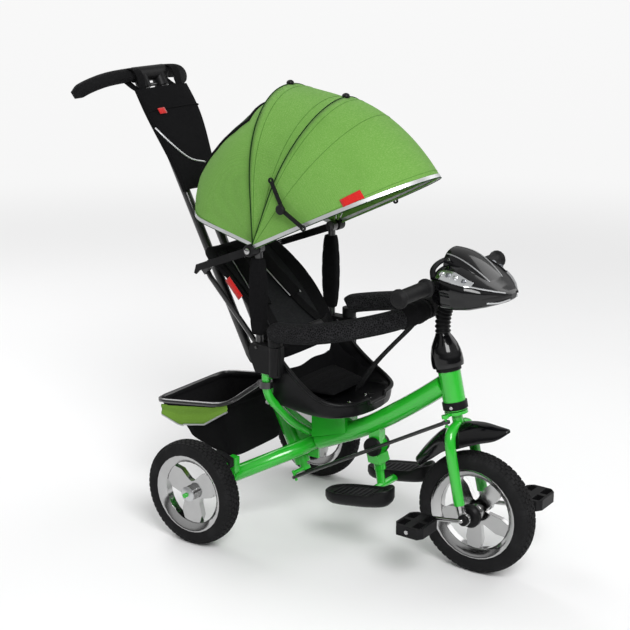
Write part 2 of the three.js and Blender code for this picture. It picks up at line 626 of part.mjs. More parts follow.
function footrestStem() {
  const hub = vec(0, stemPivot.y, stemPivot.z);
  const discs = [-1, 1].map((side) => disc(Math.min(side * 12, side * 20), Math.max(side * 12, side * 20), 19, hub, 20));
  const web = plate([[stemPivot.y - 14, stemPivot.z - 16], [stemPivot.y + 12, stemPivot.z - 16],
    [stemPivot.y + 8, stemPivot.z - 34], [stemPivot.y - 20, stemPivot.z - 34]], -20, 20);
  const gap = box(-11.5, 11.5, stemPivot.y - 24, stemPivot.y + 24, stemPivot.z - 14, stemPivot.z + 30);
  return cut(union(
    ...discs, web, disc(-14, 14, 5, hub),
    rod(vec(0, stemPivot.y - 4, stemPivot.z - 30), vec(0, crossTube.y, crossTube.z - 8), 9),
    rod(vec(0, 229, 176), vec(0, 227, 162), 12.5, 16),
    rod(vec(-footrest.x - 12, crossTube.y, crossTube.z), vec(footrest.x + 12, crossTube.y, crossTube.z), 8, 16)),
    cut(gap, disc(-12, 12, 5, hub)));
}

function footPad(side) {
  const outline = (grow) => Array.from({ length: 16 }, (_, i) => {
    const a = (i / 16) * 2 * Math.PI;
    const soft = (v, p) => Math.sign(v) * Math.abs(v) ** p;
    return [
      side * footrest.x + (footrest.width / 2 + grow) * soft(Math.cos(a), 0.75),
      footrest.y + (footrest.length / 2 + grow) * soft(Math.sin(a), 0.7)];
  });
  const level = (y) => footrest.z + 0.16 * (footrest.y - y);
  const ring = (grow, h) => outline(grow).map(([x, y]) => vec(x, y, level(y) + h));
  const body = loft([ring(-6, -footrest.depth / 2), ring(0, footrest.depth / 2 - 4), ring(-1, footrest.depth / 2)]);
  const under = loft([ring(-9, -footrest.depth / 2 - 9), ring(-3, footrest.depth / 2 - 7)]);
  const seatCut = rod(vec(-120, crossTube.y, crossTube.z), vec(120, crossTube.y, crossTube.z), 8 + clearance, 16);
  const below = box(-120, 120, crossTube.y - 8.3, crossTube.y + 8.3, 90, crossTube.z);
  return cut(body, cut(under, box(side * footrest.x - 60, side * footrest.x + 60, 207, 231, 90, 200)), seatCut, below);
}

// ---- Push handle ------------------------------------------------------------------------
const railFoot = 236;
const handleTop = columnLength;

function handleColumn() {
  const arm = onColumn(-12);
  const pin = armPin(arm, columnDirection);
  return union(
    rod(onColumn(-16), onColumn(socketTop + 20), columnRadius - 4.5),
    rod(onColumn(socketTop + clearance), onColumn(railFoot - railRadius - 1), columnRadius, 16),
    rod(onColumn(-16), onColumn(-8), 12),
    rod(arm, pin, 4.5, 12),
    rod(pin.clone().addScaledVector(columnDirection, -17), pin.clone().addScaledVector(columnDirection, 6), 3, 12));
}

function pushRails() {
  const at = (x, along) => onColumn(along).add(vec(x, 0, 0));
  const path = bentPath([
    at(-railSpread, handleTop - 6), at(-railSpread, railFoot), at(railSpread, railFoot), at(railSpread, handleTop - 6)], 24);
  const cross = (along, radius) => rod(at(-railSpread, along), at(railSpread, along), radius, 12);
  return union(
    tube(path, railRadius), cross(handleTop - 26, 4), cross(handleTop - 60, 5),
    rod(at(-52, handleTop), at(52, handleTop), railRadius - 1));
}

const gripPath = spline([
  vec(-169, 892, 902), vec(-148, 872, 918), vec(-112, 852, 931), vec(-62, 838, 936.5), vec(0, 834.8, 937),
  vec(62, 838, 936.5), vec(112, 852, 931), vec(148, 872, 918), vec(169, 892, 902)]);

function pushGrip() {
  return cut(tube(smoothPath(gripPath, 14), 15, 10),
    rod(onColumn(handleTop).add(vec(-53, 0, 0)), onColumn(handleTop).add(vec(53, 0, 0)), railRadius - 1 + clearance),
    ...[-1, 1].map((side) => rod(onColumn(handleTop - 40).add(vec(side * railSpread, 0, 0)),
      onColumn(handleTop - 2).add(vec(side * railSpread, 0, 0)), railRadius + clearance)));
}

function handleBag() {
  const section = (along, half, depth) => {
    const near = onColumn(along).addScaledVector(columnForward, railRadius + 1.5);
    return Array.from({ length: 16 }, (_, i) => {
      const a = (i / 16) * 2 * Math.PI;
      const soft = (v) => Math.sign(v) * Math.abs(v) ** 0.45;
      return near.clone().add(vec(half * soft(Math.cos(a)), 0, 0))
        .addScaledVector(columnForward, (depth / 2) * (1 + soft(Math.sin(a))));
    });
  };
  return loft([[634, 56, 10], [650, 62, 20], [720, 74, 30], [800, 80, 26], [864, 82, 12]]
    .map(([along, half, depth]) => section(along, half, depth)));
}

function linkRod() {
  const back = armPin(onColumn(-20.6), columnDirection);
  const front = armPin(onHead(-16.5), headDirection);
  const way = front.clone().sub(back).normalize();
  const eye = (centre, direction, outer) => rod(centre.clone().addScaledVector(direction, -2.8),
    centre.clone().addScaledVector(direction, 2.8), outer, 14);
  const bore = (centre, direction, radius) => rod(centre.clone().addScaledVector(direction, -9),
    centre.clone().addScaledVector(direction, 9), radius, 14);
  const start = back.clone().addScaledVector(way, 5);
  const end = front.clone().addScaledVector(way, -7);
  return cut(union(rod(start, end, 4, 12), eye(back, columnDirection, 7), eye(front, headDirection, 8)),
    bore(back, columnDirection, 3.6), bore(front, headDirection, 5));
}

// ---- Backrest ---------------------------------------------------------------------------
const backUp = vec(0, Math.sin(recline * degrees), Math.cos(recline * degrees));
const backFront = vec(0, -Math.cos(recline * degrees), Math.sin(recline * degrees));
const onBack = (x, up, front) => vec(x, hinge.y, hinge.z).addScaledVector(backUp, up).addScaledVector(backFront, front);
const strutPin = 206; // from the hinge to the pins that the recline arms hold

function backrestPad() {
  const face = (thick) => (u, v) => {
    const s = 2 * u - 1;
    const up = -46 + (backrest.length + 46) * v;
    const corner = Math.min(1, (1 - v) / 0.16);
    const foot = Math.min(1, v / 0.2);
    const half = (backrest.halfWidth - thick * 0.9) * (0.72 + 0.28 * Math.sqrt(1 - (1 - corner) ** 2))
      * (0.78 + 0.22 * Math.sqrt(1 - (1 - foot) ** 2));
    const wing = 34 * Math.abs(s) ** 3.2 * Math.sin(Math.PI * Math.min(0.94, 0.06 + v * 0.9));
    return onBack(half * s, up, -18 + thick * 1.1 + wing);
  };
  return skin(face(backrest.wall), face(0), 12, 6);
}

function backrestFrame() {
  const x = backrest.halfWidth - 8;
  const back = -26;
  const path = bentPath([
    onBack(-x, -14, back), onBack(-x, 222, back), onBack(x, 222, back), onBack(x, -14, back)], 34);
  const parts = [tube(path, 5.6, 10)];
  for (const side of [-1, 1]) {
    parts.push(plate([onBack(0, -16, back - 3), onBack(0, 14, back - 3), onBack(0, 8, 7), onBack(0, -8, 7)]
      .map((p) => [p.y, p.z]), Math.min(side * (x + 3), side * (x + 11)), Math.max(side * (x + 3), side * (x + 11))));
    parts.push(rod(onBack(side * (x + 4), 0, 0), onBack(side * (postX + 18), 0, 0), pivotPin, 12));
    parts.push(plate([onBack(0, strutPin - 10, back), onBack(0, strutPin + 10, back), onBack(0, strutPin + 7, 6),
      onBack(0, strutPin - 7, 6)].map((p) => [p.y, p.z]),
    Math.min(side * (x + 1), side * (x + 12)), Math.max(side * (x + 1), side * (x + 12))));
    parts.push(rod(onBack(side * (x + 8), strutPin, 0), onBack(side * 139.8, strutPin, 0), pivotPin, 12));
  }
  return cut(union(...parts), backrestPadClear());
}

function backrestPadClear() {
  const face = (thick) => (u, v) => {
    const s = 2 * u - 1;
    const up = -46 + (backrest.length + 46) * v;
    const wing = 34 * Math.abs(s) ** 3.2 * Math.sin(Math.PI * Math.min(0.94, 0.06 + v * 0.9));
    return onBack((backrest.halfWidth + 0.4) * s, up, -18 - clearance + thick * 1.6 + wing);
  };
  return skin(face(backrest.wall), face(0), 12, 6);
}

function reclineArm(side) {
  const c = vec(0, canopyPivot.y, canopyPivot.z);
  const pin = onBack(0, strutPin, 0);
  const way = pin.clone().sub(c).normalize();
  const across = vec(0, -way.z, way.y);
  const at = (along, off) => c.clone().addScaledVector(way, along).addScaledVector(across, off);
  const reach = pin.distanceTo(c);
  const shape = (list) => list.map(([along, off]) => at(along, off)).map((p) => [p.y, p.z]);
  const [x0, x1] = [137, 141];
  const span = (a, b) => [Math.min(side * a, side * b), Math.max(side * a, side * b)];
  const bar = plate(shape([[-2, -9], [reach + 8, -8], [reach + 20, -13], [reach + 24, -9], [reach + 12, 6], [-2, 8]]),
    ...span(x0, x1));
  const hub = disc(...span(x0, x1), 9.5, c);
  const channel = plate(shape([[56, -4.2], [reach + 3.6, -4.2], [reach + 3.6, 4.2], [56, 4.2]]), ...span(x0 - 1, 140));
  return cut(union(bar, hub), channel, disc(-170, 170, pivotPin + clearance, c));
}

// ---- Canopy -----------------------------------------------------------------------------
// An arch in a plane through the pivot line: straight sides, then half an oval over the top.
const archFoot = 26;
const archSpring = 120;

function archPoint(s, half, top, angle) {
  const straight = 0.2;
  let x;
  let r;
  if (s < straight || s > 1 - straight) {
    const t = s < straight ? s / straight : (1 - s) / straight;
    x = half;
    r = archFoot + (archSpring - archFoot) * t;
  } else {
    const a = ((s - straight) / (1 - 2 * straight)) * Math.PI;
    x = half * Math.cos(a);
    r = archSpring + (top - archSpring) * Math.sin(a);
  }
  const sign = s > 1 - straight ? -1 : 1;
  return vec(sign * x, canopyPivot.y - r * Math.sin(angle * degrees), canopyPivot.z + r * Math.cos(angle * degrees));
}

function canopyPanel(half, from, to, top) {
  const sheet = (offset) => (u, v) => {
    const angle = from + (to - from) * v;
    return archPoint(u, half + offset, top(angle) + offset, angle);
  };
  return skin(sheet(fabric), sheet(0), 16, 2);
}

// A flat bow: a strip along the arch, with a round eye on each pivot pin.
function bow({ half, top, angle }) {
  const width = vec(0, -Math.cos(angle * degrees), -Math.sin(angle * degrees)).multiplyScalar(bowWidth / 2);
  const centre = vec(0, canopyPivot.y, canopyPivot.z);
  const foot = (side) => centre.clone().setX(side * half);
  const line = (offset) => [
    foot(1).add(vec(offset, 0, 0)),
    ...Array.from({ length: 17 }, (_, i) => archPoint(i / 16, half + offset, top + offset, angle)),
    foot(-1).add(vec(-offset, 0, 0))];
  const inner = line(-bowThick / 2);
  const outer = line(bowThick / 2);
  const strip = loft(inner.map((p, i) => [
    p.clone().add(width), outer[i].clone().add(width), outer[i].clone().sub(width), p.clone().sub(width)]));
  const hubs = [-1, 1].map((side) => disc(side * half - bowThick / 2, side * half + bowThick / 2, 9, centre));
  return cut(union(strip, ...hubs), disc(-170, 170, pivotPin + clearance, centre));
}

const bows = {
  rear: { half: 143, top: 305, angle: -1.8 },
  front: { half: 150.3, top: 312.3, angle: 21.3 },
  visor: { half: 157.6, top: 358.5, angle: 65 },
};
const curtainTop = (angle) => 301 - 0.42 * Math.max(0, -angle - 4) - 0.012 * Math.max(0, -angle - 30) ** 2;
const middleTop = 307.6;
const visorTop = (angle) => 315 + (39.5 * (angle - 22)) / (bows.visor.angle - 22);

// Each stay is two links from the front bow to the visor bow, which meet at a knob.
const polar = (radius, angle) => [
  canopyPivot.y - radius * Math.sin(angle * degrees), canopyPivot.z + radius * Math.cos(angle * degrees)];
const stay = { upper: polar(157, bows.front.angle), knob: polar(126, 42), lower: polar(150, bows.visor.angle) };

// The visor's cloth, with a slot in each side for the upper stay pins to pass along as it folds back.
function visorPanel() {
  const cloth = canopyPanel(152.9, bows.front.angle + 1, bows.visor.angle - 1, visorTop);
  const slots = [-1, 1].map((side) => {
    const arc = (radius) => Array.from({ length: 7 }, (_, i) => polar(radius, bows.front.angle + (41 * i) / 6));
    return plate([...arc(160.5), ...arc(153.5).reverse()], Math.min(side * 140, side * 160), Math.max(side * 140, side * 160));
  });
  return cut(cloth, ...slots);
}

function stayLink(side, from, to, x0, x1, knob) {
  const [a, b] = [vec(0, ...from), vec(0, ...to)];
  const way = b.clone().sub(a).normalize();
  const across = vec(0, -way.z, way.y).multiplyScalar(4);
  const outline = [a.clone().sub(across), b.clone().sub(across), b.clone().add(across), a.clone().add(across)]
    .map((p) => [p.y, p.z]);
  const span = [Math.min(side * x0, side * x1), Math.max(side * x0, side * x1)];
  const ends = [disc(...span, 6, a), disc(...span, knob ? 8.5 : 6, b)];
  return cut(union(plate(outline, ...span), ...ends), disc(-200, 200, 2 + clearance, a));
}

function stayPin(side, at, inner, outer) {
  return rod(vec(side * inner, ...at), vec(side * outer, ...at), 2, 12);
}

// ---- Safety bar ----------------------------------------------------------------------------
const barPoints = [
  [barPivot.x, barPivot.y, 452], [137, 384, 462], [150, 340, 470], [154, 290, 479], [148, 236, 492],
  [124, 184, 505], [84, 148, 514], [40, 133, 519], [1.5, 130, 520]];

function safetyBar(side) {
  const path = smoothPath(spline(barPoints.map(([x, y, z]) => vec(side * x, y, z))), 12);
  const pin = rod(vec(side * barPivot.x, barPivot.y, bracketFoot + 13), vec(side * barPivot.x, barPivot.y, 456), 6);
  return cut(union(tube(path, barRadius, 12), pin), box(-10, 10, 90, 170, 480, 560).translate(-side * 9.5, 0, 0),
    cut(box(-240, 240, 360, 440, 380, bracketTop + 0.6), box(-240, 240, 380, 412, 370, 450)));
}

// ---- Assembly ---------------------------------------------------------------------------
function build() {
  add('main_frame', mainFrame(), green);
  add('rear_fork', rearFork(), green);
  const sides = [[1, 'left'], [-1, 'right']];
  for (const [side, word] of sides) {
    add(`seat_upright_${word}`, upright(side), green);
    add(`side_bracket_${word}`, sideBracket(side), black);
    add(`canopy_post_${word}`, canopyPost(side), blackSteel);
    add(`post_sleeve_${word}`, postSleeve(side), blackCloth);
  }
  add('seat_shell', seatShell(), black);
  add('seat_pad', seatPad(), blackCloth);
  add('basket', basketBag(), blackCloth);
  add('basket_frame', basketFrame(), blackSteel);
  add('fork', fork(), green);
  for (const [side, word] of sides) add(`fork_tip_${word}`, forkTip(side), chrome);
  add('fender', fender(), black);
  add('handlebar', handlebar(), chrome);
  add('stem_boot', stemBoot(), black);
  for (const [side, word] of sides) {
    add(`grip_${word}`, handGrip(side), rubber);
    add(`headlight_${word}`, headlight(side), clear);
  }
  add('console', consoleBody(), black);

  add('tyre_front', tyre(frontWheel, frontCentre), rubber);
  add('rim_front', rim(frontWheel, frontCentre), chrome);
  add('crank', crank(), chrome);
  for (const [side, word] of sides) {
    add(`pedal_${word}`, pedalBlock(side), black);
    const centre = vec((side * rearTrack) / 2, rearAxle.y, rearAxle.z);
    add(`tyre_rear_${word}`, tyre(rearWheel, centre), rubber);
    add(`rim_rear_${word}`, rim(rearWheel, centre), chrome);
    add(`brake_lever_${word}`, brakeLever(side), black);
    add(`foot_pad_${word}`, footPad(side), black);
  }
  add('footrest_stem', footrestStem(), green);

  add('handle_column', handleColumn(), green);
  add('push_rails', pushRails(), blackSteel);
  add('push_grip', pushGrip(), foam);
  add('handle_bag', handleBag(), blackCloth);
  add('link_rod', linkRod(), blackSteel);

  add('backrest_pad', backrestPad(), blackCloth);
  add('backrest_frame', backrestFrame(), blackSteel);
  for (const [side, word] of sides) {
    add(`recline_arm_${word}`, reclineArm(side), black);
    add(`safety_bar_${word}`, safetyBar(side), foam);
  }

  add('canopy_rear_bow', bow(bows.rear), black);
  add('canopy_curtain', canopyPanel(138.8, bows.rear.angle + 1, -76, curtainTop), canopyCloth);
  add('canopy_front_bow', union(bow(bows.front),
    ...[-1, 1].map((side) => stayPin(side, stay.upper, bows.front.half - 6, 163.3))), black);
  add('canopy_middle', canopyPanel(145.6, bows.rear.angle + 2, bows.front.angle - 1, () => middleTop), canopyCloth);
  add('canopy_visor_bow', union(bow(bows.visor),
    ...[-1, 1].map((side) => stayPin(side, stay.lower, bows.visor.half - 5, 167.3))), black);
  add('canopy_visor', visorPanel(), canopyCloth);
  for (const [side, word] of sides) {
    add(`stay_upper_${word}`, stayLink(side, stay.upper, stay.knob, 160, 163, false), black);
    add(`stay_lower_${word}`, stayLink(side, stay.lower, stay.knob, 163.7, 167, true), black);
  }
}

build();

// Stand the model with its box centred on the origin and its lowest point on the ground.
const bounds = new THREE.Box3().setFromObject(group);
const middle = bounds.getCenter(new THREE.Vector3());
group.position.set(-middle.x, -middle.y, -bounds.min.z);

export default group;
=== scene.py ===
import json
import math

import bmesh
import bpy
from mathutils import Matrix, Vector


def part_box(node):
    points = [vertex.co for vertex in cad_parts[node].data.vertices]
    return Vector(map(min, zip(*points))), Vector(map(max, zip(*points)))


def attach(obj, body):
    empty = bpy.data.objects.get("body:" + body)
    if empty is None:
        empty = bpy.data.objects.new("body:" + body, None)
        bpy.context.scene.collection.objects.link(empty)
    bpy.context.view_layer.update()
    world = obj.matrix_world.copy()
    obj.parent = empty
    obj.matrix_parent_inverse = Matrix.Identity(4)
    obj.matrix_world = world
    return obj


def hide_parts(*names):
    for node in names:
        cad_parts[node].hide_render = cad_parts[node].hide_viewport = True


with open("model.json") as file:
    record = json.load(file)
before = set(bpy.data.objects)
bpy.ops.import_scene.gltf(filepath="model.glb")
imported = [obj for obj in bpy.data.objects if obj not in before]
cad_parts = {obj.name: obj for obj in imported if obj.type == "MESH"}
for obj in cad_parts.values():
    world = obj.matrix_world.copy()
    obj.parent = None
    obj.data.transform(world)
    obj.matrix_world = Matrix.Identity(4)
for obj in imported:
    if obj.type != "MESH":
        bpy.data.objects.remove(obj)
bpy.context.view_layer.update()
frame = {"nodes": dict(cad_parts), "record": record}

nodes = frame["nodes"]
millimetre = 0.001
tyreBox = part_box("tyre_front")
axleY = (tyreBox[0].y + tyreBox[1].y) / 2  # places below are in mm from the ground under the front axle


sideways = Vector((1, 0, 0))


def at(x, y, z):
    return Vector((x * millimetre, axleY + y * millimetre, z * millimetre))


# Camera, at three-quarters from the front right
view = {"lens": 77.45, "place": (-2208.9, -1171.6, 1238.0), "lookAlong": (0.7850, 0.5558, -0.2745)}
camera = bpy.data.objects.new("camera", bpy.data.cameras.new("camera"))
camera.data.lens = view["lens"]
camera.data.sensor_width = 36
camera.location = at(*view["place"])
camera.rotation_euler = Vector(view["lookAlong"]).to_track_quat("-Z", "Y").to_euler()
bpy.context.scene.collection.objects.link(camera)
bpy.context.scene.camera = camera
print("camera ready")


# shader helpers
class Wire:  # one output socket; arithmetic on it adds Math nodes
    def __init__(self, paint, socket):
        self.paint, self.socket = paint, socket

    def math(self, operation, *values):
        return self.paint.add("ShaderNodeMath", {"operation": operation}, dict(enumerate(values)))

    def __add__(self, other):
        return self.math("ADD", self, other)

    __radd__ = __add__

    def __sub__(self, other):
        return self.math("SUBTRACT", self, other)

    def __rsub__(self, other):
        return self.math("SUBTRACT", other, self)

    def __mul__(self, other):
        return self.math("MULTIPLY", self, other)

    __rmul__ = __mul__

    def step(self, low, high):
        return self.paint.add("ShaderNodeMapRange", {"interpolation_type": "SMOOTHSTEP"}, {0: self, 1: low, 2: high})


class Paint:  # a material built from expressions
    def __init__(self, name, **fixed):
        self.material = bpy.data.materials.new(name)
        self.material.use_nodes = True
        self.tree = self.material.node_tree
        self.shader = self.tree.nodes["Principled BSDF"]
        for socket, value in fixed.items():
            self.shader.inputs[socket.replace("_", " ")].default_value = value
        self.place = self.add("ShaderNodeTexCoord", out="Object")

    def add(self, kind, settings=None, values=None, out=0):
        node = self.tree.nodes.new(kind)
        for key, value in (settings or {}).items():
            setattr(node, key, value)
        for key, value in (values or {}).items():
            self.feed(node.inputs[key], value)
        return Wire(self, node.outputs[out])

    def feed(self, socket, value):
        if isinstance(value, Wire):
            self.tree.links.new(value.socket, socket)
        elif hasattr(value, "__len__") and len(value) == 3 and socket.type == "RGBA":
            socket.default_value = (*value, 1)
        else:
            socket.default_value = value

    def set(self, socket, value):
        self.feed(self.shader.inputs[socket], value)

    def mix(self, low, high, factor):
        return self.add("ShaderNodeMix", {"data_type": "RGBA"}, {0: factor, 6: low, 7: high}, out=2)

    def scaled(self, x, y, z):
        return self.add("ShaderNodeVectorMath", {"operation": "MULTIPLY"}, {0: self.place, 1: (x, y, z)})

    def noise(self, scale, detail=3, vector=None):
        return self.add("ShaderNodeTexNoise", None, {"Vector": vector or self.place, "Scale": scale, "Detail": detail})

    def waves(self, scale, direction, distortion=0.0):
        return self.add("ShaderNodeTexWave", {"bands_direction": direction},
                        {"Vector": self.place, "Scale": scale, "Distortion": distortion}, out=1)

    def bump(self, height, strength, distance):
        self.set("Normal", self.add("ShaderNodeBump", None, {"Height": height, "Strength": strength, "Distance": distance}))


def glossPaint(name, colour, rough=0.22):
    paint = Paint(name, Metallic=0.0, Coat_Weight=0.6, Coat_Roughness=0.08)
    grain = paint.noise(24, 4)
    paint.set("Base Color", paint.mix(tuple(0.9 * c for c in colour), tuple(min(1, 1.06 * c) for c in colour), grain))
    paint.set("Roughness", paint.noise(60, 5) * 0.12 + rough)
    paint.bump(paint.noise(520, 2), 0.05, 0.0004)  # orange peel
    return paint.material


def mouldedPlastic(name, colour, rough=0.4, grainScale=900, grainStrength=0.16, spec=0.14):
    paint = Paint(name, Specular_IOR_Level=spec)
    cloud = paint.noise(30, 4)
    paint.set("Base Color", paint.mix(colour, tuple(1.5 * c + 0.002 for c in colour), cloud.step(0.45, 0.8)))
    paint.set("Roughness", rough + paint.noise(90, 3) * 0.12)
    paint.bump(paint.noise(grainScale, 2), grainStrength, 0.0004)
    return paint.material


def plated(name, colour, rough=0.08):
    paint = Paint(name, Metallic=1.0)
    smear = paint.noise(35, 4)
    paint.set("Base Color", paint.mix(colour, tuple(0.85 * c for c in colour), smear))
    paint.set("Roughness", smear * 0.12 + rough)
    return paint.material


def wovenCloth(name, colour, fleckAndRibHighlight, thread=240, strength=0.35, rough=0.85, sheen=0.25, heather=0.5):
    paint = Paint(name, Sheen_Weight=sheen, Sheen_Roughness=0.5, Specular_IOR_Level=0.08)
    warp = paint.waves(thread, "X", 0.6)
    weft = paint.waves(thread, "Z", 0.6)
    fill = paint.waves(thread, "Y", 0.6)
    weave = warp * weft + fill * 0.5
    slub = paint.noise(1.0, 5, paint.scaled(120, 420, 900))
    shade = paint.noise(9, 4)
    body = paint.mix(colour, fleckAndRibHighlight, slub.step(0.4, 0.75) * heather + weave * 0.12)
    paint.set("Base Color", paint.mix(body, tuple(0.8 * c for c in colour), shade.step(0.45, 0.85) * 0.5))
    paint.set("Roughness", rough + slub * 0.1)
    paint.bump(weave + slub * 0.6 + paint.noise(38, 3) * 1.6, strength, 0.0009)
    return paint.material


def knitFoam(name, colour, fleckAndRibHighlight, cell=150):
    paint = Paint(name, Specular_IOR_Level=0.1)
    cells = paint.add("ShaderNodeTexVoronoi", {"feature": "DISTANCE_TO_EDGE"}, {"Vector": paint.place, "Scale": cell})
    rib = cells.step(0.02, 0.16)
    # the raised strands between the cells take the lighter colour: a painted highlight laid over the knit's real
    # pattern
    paint.set("Base Color", paint.mix(fleckAndRibHighlight, colour, rib))
    paint.set("Roughness", 0.9 - rib * 0.2)
    paint.bump(1 - rib, 0.6, 0.0016)
    return paint.material


finish = {
    "green": glossPaint("greenEnamel", (0.018, 0.43, 0.022), rough=0.16),
    "tubeBlack": glossPaint("blackEnamel", (0.006, 0.006, 0.0065), rough=0.3),
    "chrome": plated("brightPlate", (0.5, 0.5, 0.5)),
    "silver": plated("satinSilver", (0.62, 0.63, 0.64), 0.3),
    "plastic": mouldedPlastic("blackPlastic", (0.006, 0.006, 0.0065), 0.34),
    "gloss": mouldedPlastic("glossBlackPlastic", (0.0025, 0.0025, 0.003), 0.06, 400, 0.02, 0.4),
    "shell": mouldedPlastic("seatPlastic", (0.005, 0.005, 0.0055), 0.26, 700, 0.1),
    "tread": mouldedPlastic("foamTyre", (0.009, 0.009, 0.0095), 0.7, 500, 0.3),
    "rubber": mouldedPlastic("gripRubber", (0.007, 0.007, 0.0075), 0.5, 600, 0.3),
    "foam": knitFoam("handleFoam", (0.005, 0.005, 0.0055), (0.014, 0.014, 0.015), 420),
    "barMesh": knitFoam("barMesh", (0.0025, 0.0025, 0.003), (0.026, 0.026, 0.028), 240),
    "lens": plated("lampLens", (0.92, 0.94, 0.96), 0.12),
    "canopy": wovenCloth("canopyGreen", (0.135, 0.32, 0.055), (0.25, 0.42, 0.13), 260, 0.5, sheen=0.06),
    # dark green for the piping and for the back window, where its darkness is partly painted shade
    "canopyDark": wovenCloth("canopyPipingAndWindowShade", (0.006, 0.03, 0.005), (0.014, 0.05, 0.01), 260, 0.3, sheen=0.05),
    "canopyStitch": wovenCloth("canopyStitch", (0.075, 0.2, 0.03), (0.13, 0.29, 0.06), 300, 0.3, sheen=0.05),
    "cloth": wovenCloth("blackPolyester", (0.0045, 0.0045, 0.005), (0.011, 0.011, 0.012), 280, 0.45, sheen=0.0),
    "greyMesh": wovenCloth("greyMesh", (0.012, 0.0125, 0.0135), (0.03, 0.031, 0.033), 170, 0.6, sheen=0.0),
    "webbing": wovenCloth("webbing", (0.006, 0.006, 0.0065), (0.014, 0.014, 0.015), 420, 0.6, sheen=0.0),
    "lampRing": plated("lampRing", (0.3, 0.31, 0.34), 0.2),
    "reflective": plated("reflectiveTape", (0.66, 0.67, 0.68), 0.42),
    "lime": wovenCloth("limeTrim", (0.15, 0.3, 0.035), (0.22, 0.4, 0.07), 260, 0.3, sheen=0.05),
    "red": wovenCloth("redLabel", (0.5, 0.012, 0.012), (0.62, 0.04, 0.03), 300, 0.2),
}
print("materials ready")


# mesh helpers
def piece(name, points, faces, material, body, bevel=0, angle=35, node=()):
    mesh = bpy.data.meshes.new(name)
    mesh.from_pydata([tuple(p) for p in points], [], faces)
    return finishPiece(name, mesh, material, body, bevel, angle, node)


def finishPiece(name, mesh, material, body, bevel, angle, node):
    tidy = bmesh.new()
    tidy.from_mesh(mesh)
    bmesh.ops.remove_doubles(tidy, verts=tidy.verts, dist=1e-5)
    bmesh.ops.dissolve_degenerate(tidy, edges=tidy.edges, dist=1e-6)
    bmesh.ops.recalc_face_normals(tidy, faces=tidy.faces)
    tidy.to_mesh(mesh)
    tidy.free()
    obj = bpy.data.objects.new(name, mesh)
    bpy.context.scene.collection.objects.link(obj)
    mesh.materials.clear()
    mesh.materials.append(finish[material])
    for polygon in mesh.polygons:
        polygon.use_smooth = True
        polygon.material_index = 0
    mesh.set_sharp_from_angle(angle=math.radians(angle))
    if bevel:
        rounding = obj.modifiers.new("rounding", "BEVEL")
        rounding.width = bevel * millimetre
        rounding.segments = 2
        rounding.limit_method = "ANGLE"
        rounding.angle_limit = math.radians(angle)
        rounding.harden_normals = False
    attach(obj, body)
    if node:
        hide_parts(*([node] if isinstance(node, str) else node))
    return obj


def bodyOf(name):
    for body, members in frame["record"]["behaviour"]["bodies"].items():
        if name in members:
            return body


# The same rigid shape as a CAD node, welded, shaded smooth and with its edges eased.
def refined(node, material, bevel=0.5, angle=32):
    mesh = nodes[node].data.copy()
    mesh.name = node + "_finished"
    if "custom_normal" in mesh.attributes:
        mesh.attributes.remove(mesh.attributes["custom_normal"])
    return finishPiece(node + "_finished", mesh, material, bodyOf(node), bevel, angle, node)


def grid(name, shape, nu, nv, material, body, roundU=False, thick=0, smoothing=0, angle=60, **more):
    countU = nu if roundU else nu + 1
    points = [shape(i / nu, j / nv) for j in range(nv + 1) for i in range(countU)]
    place = lambda i, j: j * countU + i % countU
    faces = [(place(i, j), place(i + 1, j), place(i + 1, j + 1), place(i, j + 1)) for j in range(nv) for i in range(nu)]
    obj = piece(name, points, faces, material, body, angle=angle, **more)
    if thick:
        shell = obj.modifiers.new("thickness", "SOLIDIFY")
        shell.thickness = thick * millimetre
        shell.offset = 0
    if smoothing:
        rounder = obj.modifiers.new("smoothing", "SUBSURF")
        rounder.levels = rounder.render_levels = smoothing
    return obj


def smoothLine(points, steps):
    ends = [2 * points[0] - points[1], *points, 2 * points[-1] - points[-2]]
    line = []
    for i in range(len(points) - 1):
        a, b, c, d = ends[i:i + 4]
        for k in range(steps):
            t = k / steps
            line.append(0.5 * (2 * b + (c - a) * t + (2 * a - 5 * b + 4 * c - d) * t * t + (3 * b - a - 3 * c + d) * t ** 3))
    return [*line, points[-1]]


# Rings along a line: section(t) gives the ring's outline as (across, up) pairs in mm.
def swept(name, line, section, material, body, guide=None, closed=False, **more):
    side = guide.copy() if guide else None
    points, faces, count = [], [], 0
    for i, p in enumerate(line):
        if closed:
            way = (line[(i + 1) % len(line)] - line[i - 1]).normalized()
        else:
            way = (line[min(i + 1, len(line) - 1)] - line[max(i - 1, 0)]).normalized()
        if side is None:
            side = way.cross(Vector((0, 0, 1)) if abs(way.z) < 0.9 else Vector((0, 1, 0)))
        if guide:
            side = guide.copy()
        side = (side - way * side.dot(way)).normalized()
        up = way.cross(side)
        outline = section(i / max(1, len(line) - 1))
        count = len(outline)
        points += [p + (side * a + up * b) * millimetre for a, b in outline]
    rings = len(line)
    for j in range(rings if closed else rings - 1):
        for i in range(count):
            k = (i + 1) % count
            j2 = (j + 1) % rings
            faces.append((j * count + i, j * count + k, j2 * count + k, j2 * count + i))
    if not closed:
        faces += [tuple(reversed(range(count))), tuple((rings - 1) * count + i for i in range(count))]
    return piece(name, points, faces, material, body, **more)


def circle(radius, sides=20, flat=1.0):
    turn = [2 * math.pi * i / sides for i in range(sides)]
    return [(radius * math.cos(a), flat * radius * math.sin(a)) for a in turn]


def band(width, thick):
    w, t = width / 2, thick / 2
    return [(-w, -t), (w, -t), (w, t), (-w, t)]


def tube(name, points, radius, material, body, steps=6, sides=20, straight=False, **more):
    line = points if straight else smoothLine(points, steps)
    return swept(name, line, lambda t: circle(radius(t) if callable(radius) else radius, sides), material, body, **more)


